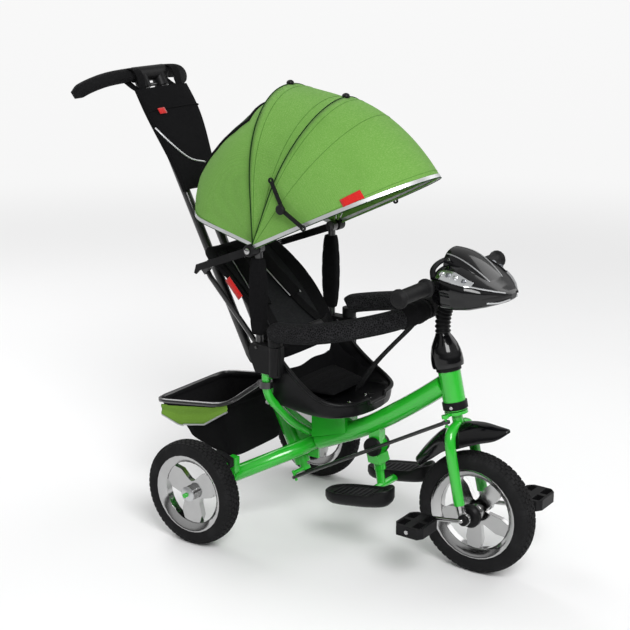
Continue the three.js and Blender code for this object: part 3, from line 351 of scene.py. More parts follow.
def turned(name, profile, centre, material, body, segments=64, axis="X", **more):
    points, faces = [], []
    count = len(profile)
    for i in range(segments):
        a = 2 * math.pi * i / segments
        for r, x in profile:
            if axis == "X":
                points.append(centre + Vector((x, r * math.cos(a), r * math.sin(a))) * millimetre)
            else:
                points.append(centre + Vector((r * math.cos(a), r * math.sin(a), x)) * millimetre)
    for i in range(segments):
        k = (i + 1) % segments
        for j in range(count - 1):
            faces.append((i * count + j, i * count + j + 1, k * count + j + 1, k * count + j))
    return piece(name, points, faces, material, body, **more)


def mirrored(profile, side):  # a turned profile that faces its own side
    return [(r, side * x) for r, x in profile]


def softened(value, power):  # a rounded corner: the sign stays
    return math.copysign(abs(value) ** power, value)


def ringCap(name, shape, v, sides, material, body):  # closes one end of a round grid
    piece(name, [shape(i / sides, v) for i in range(sides)], [tuple(range(sides))], material, body)


def border(shape, stepsU, stepsV):  # once round the edge of a patch
    across, along = [i / stepsU for i in range(stepsU)], [j / stepsV for j in range(stepsV)]
    return ([shape(0, t) for t in along] + [shape(t, 1) for t in across]
            + [shape(1, 1 - t) for t in along] + [shape(1 - t, 0) for t in across])


def leaning(y, z, degrees):  # places along a line that leans back from its foot
    s, c = math.sin(math.radians(degrees)), math.cos(math.radians(degrees))
    return lambda along, x=0.0, forward=0.0: at(x, y + along * s - forward * c, z + along * c + forward * s)


# rigid pieces that keep their CAD shape
rigid = {
    "green": ["main_frame", "rear_fork", "seat_upright_left", "seat_upright_right", "fork", "footrest_stem", "handle_column"],
    "tubeBlack": ["canopy_post_left", "canopy_post_right", "basket_frame", "push_rails", "link_rod", "backrest_frame"],
    "chrome": ["fork_tip_left", "fork_tip_right", "rim_front", "rim_rear_left", "rim_rear_right", "crank"],
    "plastic": ["side_bracket_left", "side_bracket_right", "pedal_left", "pedal_right", "brake_lever_left",
                "brake_lever_right", "recline_arm_left", "recline_arm_right",
                "stay_upper_left", "stay_upper_right", "stay_lower_left", "stay_lower_right"],
    "rubber": ["grip_left", "grip_right"],
}
for material, names in rigid.items():
    for name in names:
        refined(name, material, 0.35 if name.startswith(("stay", "canopy")) else 0.6)
print("rigid pieces ready")

# tyres
treadLook = {"blocks": 58, "depth": 2.2, "rows": (-17.5, -11, -4, 4, 11, 17.5)}


def tyre(node, rimNode):
    low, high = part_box(node)
    rimLow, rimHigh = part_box(rimNode)
    centre = (low + high) / 2
    outer = (high.z - low.z) / 2 / millimetre
    inner = (rimHigh.z - rimLow.z) / 2 / millimetre + 0.4
    half = (high.x - low.x) / 2 / millimetre
    crown = lambda x: outer - 3.4 * (abs(x) / 17.5) ** 3
    profile = [(inner, -half + 2, 0), (inner + 3, -half + 0.6, 0), (inner + 9, -half, 0), (outer - 13, -half + 0.4, 0),
               (outer - 9, -half + 1.4, 1), (outer - 7.4, -half + 2.4, 1)]
    rows = treadLook["rows"]
    for k, (a, b) in enumerate(zip(rows, rows[1:])):
        profile += [(crown(a), a + 0.1, -1), (crown(a + 0.7), a + 0.8, 2 + k % 2), (crown(b - 0.7), b - 0.8, 2 + k % 2)]
    profile.append((crown(rows[-1]), rows[-1], -1))
    profile += [(r, -x, t) for r, x, t in reversed(profile[:6])]
    steps = treadLook["blocks"] * 6
    points, faces = [], []
    for i in range(steps):
        a = 2 * math.pi * i / steps
        for r, x, kind in profile:
            gap = kind == -1 or (kind == 1 and i % 6 == 0) or (kind == 2 and i % 6 == 0) or (kind == 3 and i % 6 == 3)
            drop = treadLook["depth"] if gap else 0
            points.append(centre + Vector((x, (r - drop) * math.cos(a), (r - drop) * math.sin(a))) * millimetre)
    count = len(profile)
    for i in range(steps):
        k = (i + 1) % steps
        for j in range(count):
            m = (j + 1) % count
            faces.append((i * count + j, i * count + m, k * count + m, k * count + j))
    piece(node + "_treaded", points, faces, "tread", bodyOf(node), angle=28, node=node)


for wheel in ("front", "rear_left", "rear_right"):
    tyre(f"tyre_{wheel}", f"rim_{wheel}")
hubCap = [(0, 23.5), (6, 23.2), (13, 21.5), (16.5, 19.5), (16.5, 18.4), (0, 18.4)]
for side, word in ((1, "left"), (-1, "right")):
    middle = (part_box(f"rim_rear_{word}")[0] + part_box(f"rim_rear_{word}")[1]) / 2
    turned(f"hub_cap_{word}", mirrored(hubCap, side), middle, "silver", f"rear_wheel_{word}", 40)
print("tyres ready")

# canopy
canopy = {"pivot": (439, 626.5), "foot": 10, "spring": 120, "rear": -1.8, "front": 21.3, "visor": 65,
          "curtainHalf": 139.8, "middleHalf": 146.8, "visorHalf": 154.2,
          "middleTop": 311, "visorTop": 317, "visorRise": 38.5, "seam": 1.1, "tape": 8}


def archAt(s, half, top, angle, square=1.0):
    straight = 0.2
    if s < straight or s > 1 - straight:
        t = min(s, 1 - s) / straight
        x, r = half, canopy["foot"] + (canopy["spring"] - canopy["foot"]) * t
    else:
        a = (s - straight) / (1 - 2 * straight) * math.pi
        x = half * abs(math.cos(a)) ** square
        r = canopy["spring"] + (top - canopy["spring"]) * abs(math.sin(a)) ** square
    x = abs(x) * (1 if s <= 0.5 else -1)
    return x, r


def onFan(x, r, angle):
    a = math.radians(angle)
    return at(x, canopy["pivot"][0] - r * math.sin(a), canopy["pivot"][1] + r * math.cos(a))


def ease(t):
    t = min(1, max(0, t))
    return t * t * (3 - 2 * t)


def middlePoint(s, v, lift=0):
    angle = canopy["rear"] - 0.8 + (canopy["front"] - canopy["rear"] + 4.2) * v
    sag = 6.5 * math.sin(math.pi * v)
    crumple = 1.3 * math.sin(23 * s + 5 * v) * math.sin(math.pi * v) * math.sin(math.pi * s)
    x, r = archAt(s, canopy["middleHalf"] + lift - 0.4 * sag, canopy["middleTop"] - sag + crumple + lift, angle, 0.92)
    return onFan(x, r, angle)


def visorPoint(s, v, lift=0):
    angle = canopy["front"] + 0.9 + (canopy["visor"] - canopy["front"] - 1.4) * v
    top = canopy["visorTop"] + canopy["visorRise"] * (angle - 22) / (canopy["visor"] - 22)
    belly = -2 * math.sin(math.pi * v)
    crumple = 0.9 * math.sin(17 * s + 4 * v) * math.sin(math.pi * v) * math.sin(math.pi * s)
    x, r = archAt(s, canopy["visorHalf"] + lift, top + belly + crumple + lift, angle)
    return onFan(x, r, angle)


curtainTops = [(3, 303.5), (-0.8, 303), (-10, 280), (-19, 258), (-34, 237),  # angle behind the upright, height over the pivot
               (-46, 229), (-54, 226), (-66, 214), (-78, 196), (-90, 188)]


def curtainPoint(s, v, lift=0):
    angle = canopy["rear"] + 4 - 78 * v
    for (a, ra), (b, rb) in zip(curtainTops, curtainTops[1:]):
        if angle >= b:
            top = ra + (rb - ra) * (angle - a) / (b - a)
            break
    ripple = (1.5 * math.sin(9 * v + 5 * s) + 1.1 * math.sin(31 * s - 6 * v)) * math.sin(math.pi * s) * ease(v * 3)
    square = 0.9 - 0.22 * ease(v / 0.34)
    x, r = archAt(s, canopy["curtainHalf"] + lift - 4 * ease(v), top + ripple + lift, angle, square)
    return onFan(x, r, angle)


def area(obj):
    return sum(p.area for p in obj.data.polygons)


sheets = {"canopy_middle": (middlePoint, "canopy_front", 10), "canopy_visor": (visorPoint, "canopy_visor", 18),
          "canopy_curtain": (curtainPoint, "frame", 22)}
for node, (shape, body, rows) in sheets.items():
    cloth = grid(node + "_cloth", shape, 96, rows, "canopy", body, thick=1.4, angle=80, node=node)
    size = area(cloth)
    width = sum((shape((i + 1) / 96, 0.6) - shape(i / 96, 0.6)).length for i in range(96))
    for end in (0, 1):
        line = [shape(i / 96, end, 0.9) for i in range(97)]
        swept(f"{node}_seam_{end}", line, lambda t: circle(canopy["seam"], 8), "canopyDark", body)


# tape along the free edges, and flat stitched lines
def edging(name, shape, v, body, material, width, thick, lift, first=0, last=64):
    line = [shape(i / 64, v, lift) for i in range(first, last + 1)]
    inward = [shape(i / 64, max(0, v - 0.02), lift) for i in range(first, last + 1)]
    points, faces = [], []
    for k, p in enumerate(line):
        way = (line[min(k + 1, len(line) - 1)] - line[max(k - 1, 0)]).normalized()
        back = (inward[k] - p)
        back = (back - way * back.dot(way)).normalized()
        out = way.cross(back).normalized()
        for a, b in ((0, -thick / 2), (width, -thick / 2), (width, thick / 2), (0, thick / 2)):
            points.append(p + (back * a + out * b) * millimetre)
    for k in range(len(line) - 1):
        for i in range(4):
            j = (i + 1) % 4
            faces.append((k * 4 + i, k * 4 + j, k * 4 + 4 + j, k * 4 + 4 + i))
    n = (len(line) - 1) * 4
    faces += [(3, 2, 1, 0), (n, n + 1, n + 2, n + 3)]
    return piece(name, points, faces, material, body)


edging("visor_tape", visorPoint, 1.0, "canopy_visor", "reflective", canopy["tape"], 2.6, 0.4)
edging("curtain_tape", curtainPoint, 1.0, "frame", "reflective", canopy["tape"], 2.6, 0.4)
stitchLines = {"visor_stitch": (visorPoint, 0.34, "canopy_visor"), "visor_hem_stitch": (visorPoint, 0.94, "canopy_visor"),
               "visor_casing_stitch": (visorPoint, 0.075, "canopy_visor"),
               "middle_rear_stitch": (middlePoint, 0.16, "canopy_front"),
               "middle_front_stitch": (middlePoint, 0.74, "canopy_front"),
               "curtain_top_stitch": (curtainPoint, 0.09, "frame"), "curtain_hem_stitch": (curtainPoint, 0.95, "frame")}
for name, (shape, v, body) in stitchLines.items():
    edging(name, shape, v, body, "canopyStitch", 0.9, 0.8, 0.9)

# slim bows that hold each edge of the cloth from inside
bows = {"canopy_rear_bow": (curtainPoint, 0.045), "canopy_front_bow": (middlePoint, 0.875),
        "canopy_visor_bow": (visorPoint, 0.985)}
for node, (shape, v) in bows.items():
    tube(node + "_rod", [shape(i / 64, v, -2.6) for i in range(65)], 1.7, "canopy", bodyOf(node),
         straight=True, sides=10, node=node)
rivetHead = [(0, 3), (3.4, 2.6), (6, 1), (6.4, 0), (0, 0)]
bossBody = [(0, 12), (9, 12), (12.5, 9.5), (12.5, -9.5), (10, -12), (0, -12)]
for side, word in ((1, "left"), (-1, "right")):
    turned(f"canopy_rivet_{word}", mirrored(rivetHead, side), at(side * 166, *canopy["pivot"]), "chrome", "canopy_visor", 24)
    turned(f"canopy_boss_{word}", mirrored(bossBody, side), at(side * 152, *canopy["pivot"]), "plastic", "frame", 32)


# the back window: a dark green mesh sheet; its darkness is partly the mesh's own colour and partly painted shade of the
# canopy's inside
def paintedShadeWindowPoint(u, v, lift=1.6):
    return curtainPoint(0.37 + 0.26 * u, 0.16 + 0.52 * v, lift)


grid("canopy_painted_shade_window", paintedShadeWindowPoint, 20, 16, "canopyDark", "frame", thick=0.8)
swept("canopy_window_edge", border(lambda u, v: paintedShadeWindowPoint(u, v, 1.9), 10, 10), lambda t: circle(3.2, 10), "cloth", "frame",
      closed=True)
button = [(0, -3), (7, -2.5), (8, 1), (6.5, 4.5), (3, 6.4), (0, 6.8)]
for name, shape, body in (("rear", middlePoint, "canopy_front"), ("front", visorPoint, "canopy_visor")):
    turned(f"bow_button_{name}", button, shape(0.5, 0.0, 2), "plastic", body, 24, axis="Z")
grid("canopy_label", lambda u, v: visorPoint(0.663 + 0.04 * u, 0.865 + 0.09 * v, 1.6), 6, 4, "red", "canopy_visor", thick=0.8)
stayKnob = {"x": 168.5, "radius": 126, "angle": 42, "profile": [(0, 4), (8, 3.6), (10, 2), (10, -0.8), (0, -0.8)]}
for side, word in ((1, "left"), (-1, "right")):
    knobAt = onFan(side * stayKnob["x"], stayKnob["radius"], stayKnob["angle"])
    turned(f"stay_knob_{word}", mirrored(stayKnob["profile"], side), knobAt, "plastic", f"stay_lower_{word}", 32)
print("canopy ready")

# push handle: grip, bag and its piping
onColumn = leaning(424, 130, 27)
gripHalf = [(171, 893, 901), (148, 872, 918), (112, 852, 931), (62, 838, 936.5)]
gripPoints = [(-x, y, z) for x, y, z in gripHalf] + [(0, 834.8, 937)] + gripHalf[::-1]
gripLine = smoothLine([at(*p) for p in gripPoints], 8)
swept("push_grip_foam", gripLine, lambda t: circle(15 * min(1, 0.55 + 8 * min(t, 1 - t)) if min(t, 1 - t) < 0.05 else 15, 28),
      "foam", "push_handle", node="push_grip")
for x in (-28, 28):
    tube(f"grip_clamp_{'left' if x > 0 else 'right'}", [onColumn(along, x) for along in (872, 892, 904)], 15.5,
         "plastic", "push_handle", sides=28, bevel=1.2)
tube("grip_bridge", [onColumn(905, x) for x in (-48, 0, 48)], 16.6, "plastic", "push_handle", sides=28, bevel=1.5)

bag = {"foot": 636, "top": 864, "half": (58, 82), "depth": 28}


def bagPoint(u, v, proud=0.0):
    along = bag["foot"] + (bag["top"] - bag["foot"]) * v
    half = bag["half"][0] + (bag["half"][1] - bag["half"][0]) * ease(v * 1.15) + proud
    thick = bag["depth"] * (0.34 + 0.66 * math.sin(math.pi * min(1, 0.12 + v * 0.8)) ** 0.8)
    a = 2 * math.pi * u
    across = half * softened(math.cos(a), 0.5)
    front = softened(math.sin(a), 0.62)
    crease = 1.4 * math.sin(7 * v + 3 * across / half) * max(0, front)
    forward = 12.5 + (thick / 2 + proud) * (1 + front) + crease
    droop = -6 * (1 - v) * math.cos(a) ** 2
    return onColumn(along + droop, across, forward)


bagBody = grid("handle_bag_cloth", bagPoint, 64, 30, "cloth", "push_handle", roundU=True, node="handle_bag")
for v, end in ((0, "foot"), (1, "top")):
    ringCap(f"handle_bag_{end}", bagPoint, v, 64, "cloth", "push_handle")
edgeLine = [bagPoint(0.5 - 0.02, v / 20, 0.8) for v in range(0, 21)]
swept("bag_piping_side", edgeLine, lambda t: circle(1.5, 8), "cloth", "push_handle")
diagonal = [bagPoint(0.485 - 0.33 * t / 24, 0.62 - 0.56 * t / 24, 0.9) for t in range(25)]
swept("bag_piping", diagonal, lambda t: circle(1.9, 8), "reflective", "push_handle")
band1 = [bagPoint(0.03 + 0.44 * t / 24, 0.77, 0.9) for t in range(25)]
swept("bag_band", band1, lambda t: circle(1.5, 8), "webbing", "push_handle")
grid("bag_label", lambda u, v: bagPoint(0.33 - 0.05 * u, 0.72 + 0.06 * v, 1.6), 6, 3, "red", "push_handle", thick=0.8)
hanger = [(862, 20), (888, 26), (908, 22), (918, 2), (908, -18), (884, -6), (862, 12)]
for x, word in ((-58, "right"), (58, "left")):
    loop = [onColumn(along, x, forward) for along, forward in hanger]
    swept(f"bag_loop_{word}", smoothLine(loop, 6), lambda t: band(20, 2), "webbing", "push_handle", guide=sideways)
tube("column_collar", [onColumn(136), onColumn(150), onColumn(164)], 21.5, "plastic", "frame", sides=36, bevel=2)
tube("column_bolt", [onColumn(150, -18), onColumn(150, -30), onColumn(150, -36)], 5.5, "chrome", "frame", sides=18, bevel=0.8)
lever = [(150, 16, -6), (156, 26, -8), (168, 30, -8), (186, 30, -6)]
tube("column_lever", [onColumn(*p) for p in lever], 4.5, "plastic", "frame", bevel=0.6)
print("push handle ready")

# backrest
backLine = leaning(436, 424, 44)


def onBack(x, up, forward):
    return backLine(up, x, forward)


backLook = {"half": 111, "foot": -42, "top": 244, "thick": 15, "channels": 6}


def backPoint(u, v):
    up = backLook["foot"] + (backLook["top"] - backLook["foot"]) * v
    a = 2 * math.pi * u
    corner = min(1, (1 - v) / 0.16)
    foot = min(1, v / 0.2)
    topCorners = 0.72 + 0.28 * math.sqrt(1 - (1 - corner) ** 2)
    footCorners = 0.78 + 0.22 * math.sqrt(1 - (1 - foot) ** 2)
    half = backLook["half"] * topCorners * footCorners
    s = softened(math.cos(a), 0.42)
    wing = 34 * abs(s) ** 3.2 * math.sin(math.pi * min(0.94, 0.06 + v * 0.9))
    face = softened(math.sin(a), 0.35)
    quilt = 1.9 * abs(math.sin(math.pi * v * backLook["channels"])) ** 0.5 * (1 if abs(s) < 0.62 else 0.3) if face > 0 else 0
    end = math.sqrt(max(0, 1 - (2 * abs(v - 0.5)) ** 14))
    return onBack(half * s, up, -18 + wing + backLook["thick"] * 0.56 + face * end * backLook["thick"] * 0.5 + quilt * end)


back = grid("backrest_cloth", backPoint, 72, 60, "cloth", "backrest", roundU=True, node="backrest_pad")


def meshPoint(u, v):  # the mesh panel lies just proud of the pad
    proud = onBack(0, 0, 1.6) - onBack(0, 0, 0)
    return backPoint(0.25 + 0.16 * (0.5 - u) * (1.15 - 0.2 * abs(v - 0.5)), 0.1 + 0.82 * v) + proud


backPanel = grid("backrest_mesh", meshPoint, 30, 48, "greyMesh", "backrest", thick=1.2)
swept("backrest_piping", border(meshPoint, 10, 16), lambda t: circle(2, 8), "webbing", "backrest", closed=True)
harness = {"shoulder": [(34, 226, 6), (36, 200, 4), (42, 150, 4), (50, 90, 6), (62, 34, 8), (78, -8, 12), (84, -26, 10)],
           "pad": [(35.5, 196, 8), (41, 150, 9), (47, 110, 10), (53, 76, 11)], "padHalf": 19, "padDepth": 4.6,
           "waist": [(96, -6, 8), (80, -4, 22), (56, -12, 34), (26, -20, 42), (8, -22, 44)]}


def padSection(t):  # a shoulder pad narrows a little at its ends
    wide = harness["padHalf"] * (1 if 0.04 < t < 0.96 else 0.9)
    deep = harness["padDepth"] * (1 if 0.02 < t < 0.98 else 0.6)
    turn = [2 * math.pi * k / 24 for k in range(24)]
    return [(softened(math.cos(a), 0.5) * wide, softened(math.sin(a), 0.6) * deep) for a in turn]


def harnessLine(part, side, steps):
    return smoothLine([onBack(side * x, up, forward) for x, up, forward in harness[part]], steps)


for side, word in ((1, "left"), (-1, "right")):
    swept(f"shoulder_strap_{word}", harnessLine("shoulder", side, 6), lambda t: band(23, 1.8), "webbing", "backrest",
          guide=sideways)
    padLine = harnessLine("pad", side, 8)
    pad = swept(f"shoulder_pad_{word}", padLine, padSection, "cloth", "backrest", guide=sideways)
    for edge in (-1, 1):
        rand = [p + Vector((edge * harness["padHalf"], 0, 0)) * millimetre for p in padLine]
        swept(f"shoulder_pad_piping_{word}_{'in' if edge < 0 else 'out'}", rand, lambda t: circle(1.3, 8), "reflective",
              "backrest")
    swept(f"waist_strap_{word}", harnessLine("waist", side, 6), lambda t: band(1.8, 22), "webbing", "backrest",
          guide=Vector((0, -1, 0.2)))
buckle = onBack(0, -22, 46)
swept("harness_buckle", [buckle + Vector((x, 0, 0)) * millimetre for x in (-22, -20, -8, 8, 20, 22)],
      lambda t: circle(15 if 0.05 < t < 0.95 else 12, 20, 0.42), "plastic", "backrest", guide=Vector((0, 0.6, 0.8)), bevel=1)
tag = [at(-114.5, 537, 542), at(-114.5, 526, 552), at(-114.5, 492, 516), at(-114.5, 503, 506)]
grid("backrest_label", lambda u, v: tag[0].lerp(tag[1], v).lerp(tag[3].lerp(tag[2], v), u), 6, 2, "red", "backrest", thick=1)
print("backrest ready")

# leaf-shaped pads on the two canopy posts
postPad = {"x": 128, "y": 441, "foot": 448, "height": 158}
for side, word in ((1, "left"), (-1, "right")):
    def leafPoint(u, v, side=side):
        z = postPad["foot"] + postPad["height"] * v
        a = 2 * math.pi * u
        swell = math.sin(math.pi * (0.06 + 0.88 * v)) ** 0.45
        deep = 6 + 13.5 * swell
        wide = (10 + 1.6 * abs(math.sin(math.pi * v * 5)) ** 0.5) * (0.85 + 0.15 * swell)
        x, y = wide * softened(math.cos(a), 0.5), deep * softened(math.sin(a), 0.5)
        return at(side * postPad["x"] + x, postPad["y"] + y, z)

    leaf = grid(f"post_pad_{word}", leafPoint, 32, 40, "cloth", "frame", roundU=True, node=f"post_sleeve_{word}")
    for v, end in ((0, "foot"), (1, "top")):
        ringCap(f"post_pad_{end}_{word}", leafPoint, v, 32, "cloth", "frame")
print("post pads ready")

# seat shell, moulded in one piece with a rolled lip
seat = {"nose": 238, "back": 418, "half": 117, "floor": 310, "rim": 424, "wall": 5, "lip": 4.2}


def seatTop(u, v, lift=0.0):
    s = min(1, abs(2 * u - 1))
    spread = math.sqrt(max(0, 1 - (1 - min(1, v / 0.5)) ** 2.4))
    half = 30 + (seat["half"] - 30) * spread - lift
    wall = 10 + (seat["rim"] - seat["floor"] - 10) * max(0, (v - 0.12) / 0.88) ** 1.7
    t = max(0, (s - 0.55) / 0.45) * math.pi / 2
    across = s / 0.55 * 0.86 if s < 0.55 else 0.86 + 0.14 * math.sin(t)
    dish = -8 * math.sin(math.pi * min(1, v * 1.1)) * (1 - s * s)
    y = seat["nose"] + (seat["back"] - seat["nose"]) * v
    return (1 if u >= 0.5 else -1) * half * across, y, seat["floor"] + dish + wall * (1 - math.cos(t)) + lift


def seatSkin(w, v):
    u = 2 * w if w <= 0.5 else 2 - 2 * w
    x, y, z = seatTop(u, v)
    if w > 0.5:
        s = abs(2 * u - 1)
        z -= 4 + 15 * (1 - s ** 4)
    return at(x, y, z)


shellRing = 160
grid("seat_shell_moulded", seatSkin, shellRing, 56, "shell", "frame", roundU=True, node="seat_shell")
for v, name in ((0, "nose"), (1, "back")):
    top = [seatSkin(i / shellRing, v) for i in range(shellRing // 2 + 1)]
    under = [seatSkin(1 - i / shellRing, v) if i else top[0] for i in range(shellRing // 2 + 1)]
    strip = [(i, i + 1, len(top) + i + 1, len(top) + i) for i in range(len(top) - 1)]
    piece(f"seat_shell_{name}", top + under, strip, "shell", "frame")
lip = [(0, 1 - i / 40) for i in range(40)] + [(i / 30, 0) for i in range(31)] + [(1, (i + 1) / 40) for i in range(40)]
swept("seat_lip", [at(*seatTop(u, v)) for u, v in lip], lambda t: circle(seat["lip"], 12), "shell", "frame")
for x in (-40, 40):
    slot = [at(x, 268, 303.4), at(x, 280, 302.4), at(x, 292, 301.8)]
    tube(f"seat_slot_{'right' if x < 0 else 'left'}", slot, 3.2, "gloss", "frame")
seatRivet = [(0, 3.4), (2.2, 3), (4, 1.6), (4.4, 0), (0, 0)]
for x, y in ((-16, 262), (16, 262), (-30, 286), (30, 286)):
    turned(f"seat_rivet_{'right' if x < 0 else 'left'}_{y}", seatRivet, at(x, y, 303.5), "chrome", "frame", 20, axis="Z")


def linerPoint(u, v):
    x, y, z = seatTop(0.07 + 0.86 * u, 1.0 - 0.5 * v, 6)
    fold = 2.6 * math.sin(11 * u + 7 * v) * math.sin(5 * v + 2) + 1.5 * math.sin(23 * u - 9 * v)
    rise = 40 * max(0, 1 - v * 2.4) ** 2
    return at(x * (1 - 0.05 * math.sin(9 * v)), y + 6 * (1 - v), z + fold + rise)


liner = grid("seat_liner", linerPoint, 60, 40, "cloth", "frame", thick=1.8, smoothing=1)

# seat pad
def seatPadPoint(u, v):
    y = 304 + 104 * v
    a = 2 * math.pi * u
    half = 60 + 28 * v
    s = softened(math.cos(a), 0.5)
    up = softened(math.sin(a), 0.6)
    end = math.sqrt(max(0, 1 - (2 * abs(v - 0.5)) ** 6))
    middle = 324 + 7 * v
    crown = 9 * (1 - 0.35 * s * s) * (1 if up > 0 else 0.7)
    quilt = 1.2 * abs(math.sin(4 * math.pi * v)) * end if up > 0 else 0
    return at(half * s * (0.93 + 0.07 * end), y, middle + up * end * crown + quilt)


seatPad = grid("seat_pad_cloth", seatPadPoint, 64, 40, "cloth", "frame", roundU=True, node="seat_pad")
print("seat pad ready")

# safety bar
barPoints = [(133.6, 394, 456), (137, 384, 462), (150, 340, 470), (154, 290, 479), (148, 236, 492), (124, 184, 505),
             (84, 148, 514), (40, 133, 519), (2, 130, 520)]
for side, word in ((1, "left"), (-1, "right")):
    line = smoothLine([at(side * x, y, z) for x, y, z in barPoints], 10)
    body = f"safety_bar_{word}"
    bar = swept(f"safety_bar_cover_{word}", line, lambda t: circle(20.6, 32), "barMesh", body, node=body,
                guide=Vector((0, 0, 1)))
    tube(f"safety_bar_post_{word}", [at(side * 133, 396, z) for z in (372, 400, 452)], 6, "tubeBlack", body)
    tube(f"safety_bar_cap_{word}", [at(side * 133, 396, z) for z in (431, 441, 452)], 15, "plastic", body, bevel=1.5)
sleeveLine = smoothLine([at(-x, y, z) for x, y, z in [(70, 142, 516), (52, 136, 518), (34, 132.5, 519), (10, 130.5, 520)]], 8)
swept("bar_sleeve", sleeveLine, lambda t: circle(22.4 + 0.8 * math.sin(18 * t), 32), "cloth", "safety_bar_right")
crotch = [at(-38, 134, 497), at(-38, 150, 478), at(-36, 186, 440), at(-30, 226, 396), at(-24, 258, 352), at(-20, 268, 336)]
swept("crotch_strap", smoothLine(crotch, 6), lambda t: band(34 - 6 * t, 2.4), "webbing", "safety_bar_right",
      guide=sideways)
print("safety bar ready")

# basket
basket = {"front": 532, "back": 730, "half": 117, "rimFront": 272, "rimBack": 238, "floor": 142}


def basketPoint(u, v, inset=0.0):
    level = 1 - v
    front = basket["front"] + inset + 8 * level
    rear = basket["back"] - inset - 52 * level
    half = basket["half"] - inset - 24 * level
    a = 2 * math.pi * u
    x = half * softened(math.cos(a), 0.34)
    y = (front + rear) / 2 + (rear - front) / 2 * softened(math.sin(a), 0.34)
    along = max(0, (y - basket["front"]) / (basket["back"] - basket["front"]))
    rim = basket["rimFront"] + (basket["rimBack"] - basket["rimFront"]) * along
    floor = basket["floor"] + 52 * along ** 1.4
    sag = math.sin(math.pi * v) * (2.2 * math.sin(5 * a) + 1.6 * math.sin(13 * a + 6 * v))
    return at(x - math.copysign(sag, x), y - 0.5 * sag, rim + (floor - rim) * level)


walls = grid("basket_walls", lambda u, v: basketPoint(u, v, 1.5), 96, 16, "cloth", "frame", roundU=True, thick=1.6,
             node="basket")
floorRing = lambda u, v: basketPoint(u, 0, 1.5).lerp(at(0, 608, 163), v * 0.995)
grid("basket_floor", floorRing, 96, 6, "cloth", "frame", roundU=True, thick=1.6)
rimLine = [basketPoint(i / 96, 1.0, -1.0) for i in range(96)]
swept("basket_trim", rimLine, lambda t: circle(6.4 + 0.7 * math.sin(60 * t), 12, 1.2), "cloth", "frame", closed=True)
flapFoot = [(534, 258), (598, 216), (670, 201), (718, 214)]


def flapPoint(u, v):
    y = 534 + 184 * u
    k = min(2, int(u * 3))
    (ya, za), (yb, zb) = flapFoot[k], flapFoot[k + 1]
    low = za + (zb - za) * min(1, max(0, (y - ya) / (yb - ya)))
    rim = basket["rimFront"] + (basket["rimBack"] - basket["rimFront"]) * u
    return at(-120.5 - 1.4 * math.sin(3 * math.pi * v), y, rim + (min(low, rim - 4) - rim) * v)


flap = grid("basket_flap", flapPoint, 40, 10, "lime", "frame", thick=1.4)
hem = [flapPoint(i / 40, 1) for i in range(41)]
flapHem = swept("basket_flap_hem", hem, lambda t: circle(2.1, 8), "reflective", "frame")
print("basket ready")

# steering: collars, bolts, console trim and painted highlight strips
onHead = leaning(53, 329, 13)
tube("head_ring", [onHead(2), onHead(10), onHead(18)], 25, "plastic", "frame", sides=40, bevel=1.5)
tube("head_ring_screw", [onHead(10, -20, 6), onHead(10, -30, 8)], 3.6, "chrome", "frame", straight=True, sides=14, bevel=0.5)
tube("head_top_ring", [onHead(80), onHead(84), onHead(88)], 25, "plastic", "frame", sides=40, bevel=1.2)
for side, word in ((1, "left"), (-1, "right")):
    tube(f"axle_nut_{word}", [at(side * x, 0, 125) for x in (52, 57)], 11, "plastic", "steering",
         straight=True, sides=24, bevel=1)

# fender: a glossy leaf with deep sides and a lifted tip
fenderLook = {"half": 37, "drop": 43, "thick": 2.2,
              "line": [(-64, 311), (-42, 311.5), (-10, 313), (22, 309), (48, 300), (78, 284), (110, 250), (139, 210)]}
fenderLine = smoothLine([at(0, y, z) for y, z in fenderLook["line"]], 6)


def fenderPoint(u, v):
    k = min(len(fenderLine) - 2, int(v * (len(fenderLine) - 1)))
    t = v * (len(fenderLine) - 1) - k
    middle = fenderLine[k].lerp(fenderLine[k + 1], t)
    way = (fenderLine[min(k + 2, len(fenderLine) - 1)] - fenderLine[max(k - 1, 0)]).normalized()
    up = Vector((1, 0, 0)).cross(way)
    leaf = math.sin(math.pi * (0.03 + 0.85 * v)) ** 0.75
    a = 2 * u - 1
    half = fenderLook["half"] * leaf
    return middle + Vector((half * math.sin(a * 1.35) / math.sin(1.35), 0, 0)) * millimetre + up * (
        -(fenderLook["drop"] * leaf * abs(a) ** 2.1) * millimetre)


grid("fender_moulded", fenderPoint, 40, 64, "gloss", "steering", thick=fenderLook["thick"], smoothing=1, node="fender")

# boot, bellows and handlebar
bootShape = [(31, 1), (32, 8), (31.5, 20), (29.5, 32), (26, 44), (20.5, 55), (16, 63), (14, 68)]
bootLine = [onHead(87.5 + h) for _, h in bootShape]


def bootSection(t):
    k = min(6, int(t * 7))
    here, above = bootShape[k][0], bootShape[min(7, int(t * 7) + 1)][0]
    return circle(here + (above - here) * (t * 7 - k), 48)


swept("stem_boot_moulded", smoothLine(bootLine, 4), bootSection, "gloss", "steering", node="stem_boot")
bellows = smoothLine([at(0, y, z) for y, z in [(83, 456), (86, 474), (87.5, 500), (84, 526), (74, 548), (66, 566)]], 24)
swept("stem_bellows", bellows, lambda t: circle(14.2 + 1.5 * math.sin(2 * math.pi * 15 * t), 32), "plastic", "steering")
tube("handlebar_bar", [at(x, 72.7, 592) for x in (-188, 0, 188)], 9.5, "tubeBlack", "steering",
     straight=True, sides=24, node="handlebar")
hubCover = [(0, -38), (12, -37.6), (20, -35.6), (23.5, -31), (23.5, -22), (0, -22)]
turned("front_hub_cover", hubCover, at(0, 0, 125), "plastic", "front_wheel", 48)
print("fender, boot and bellows ready")
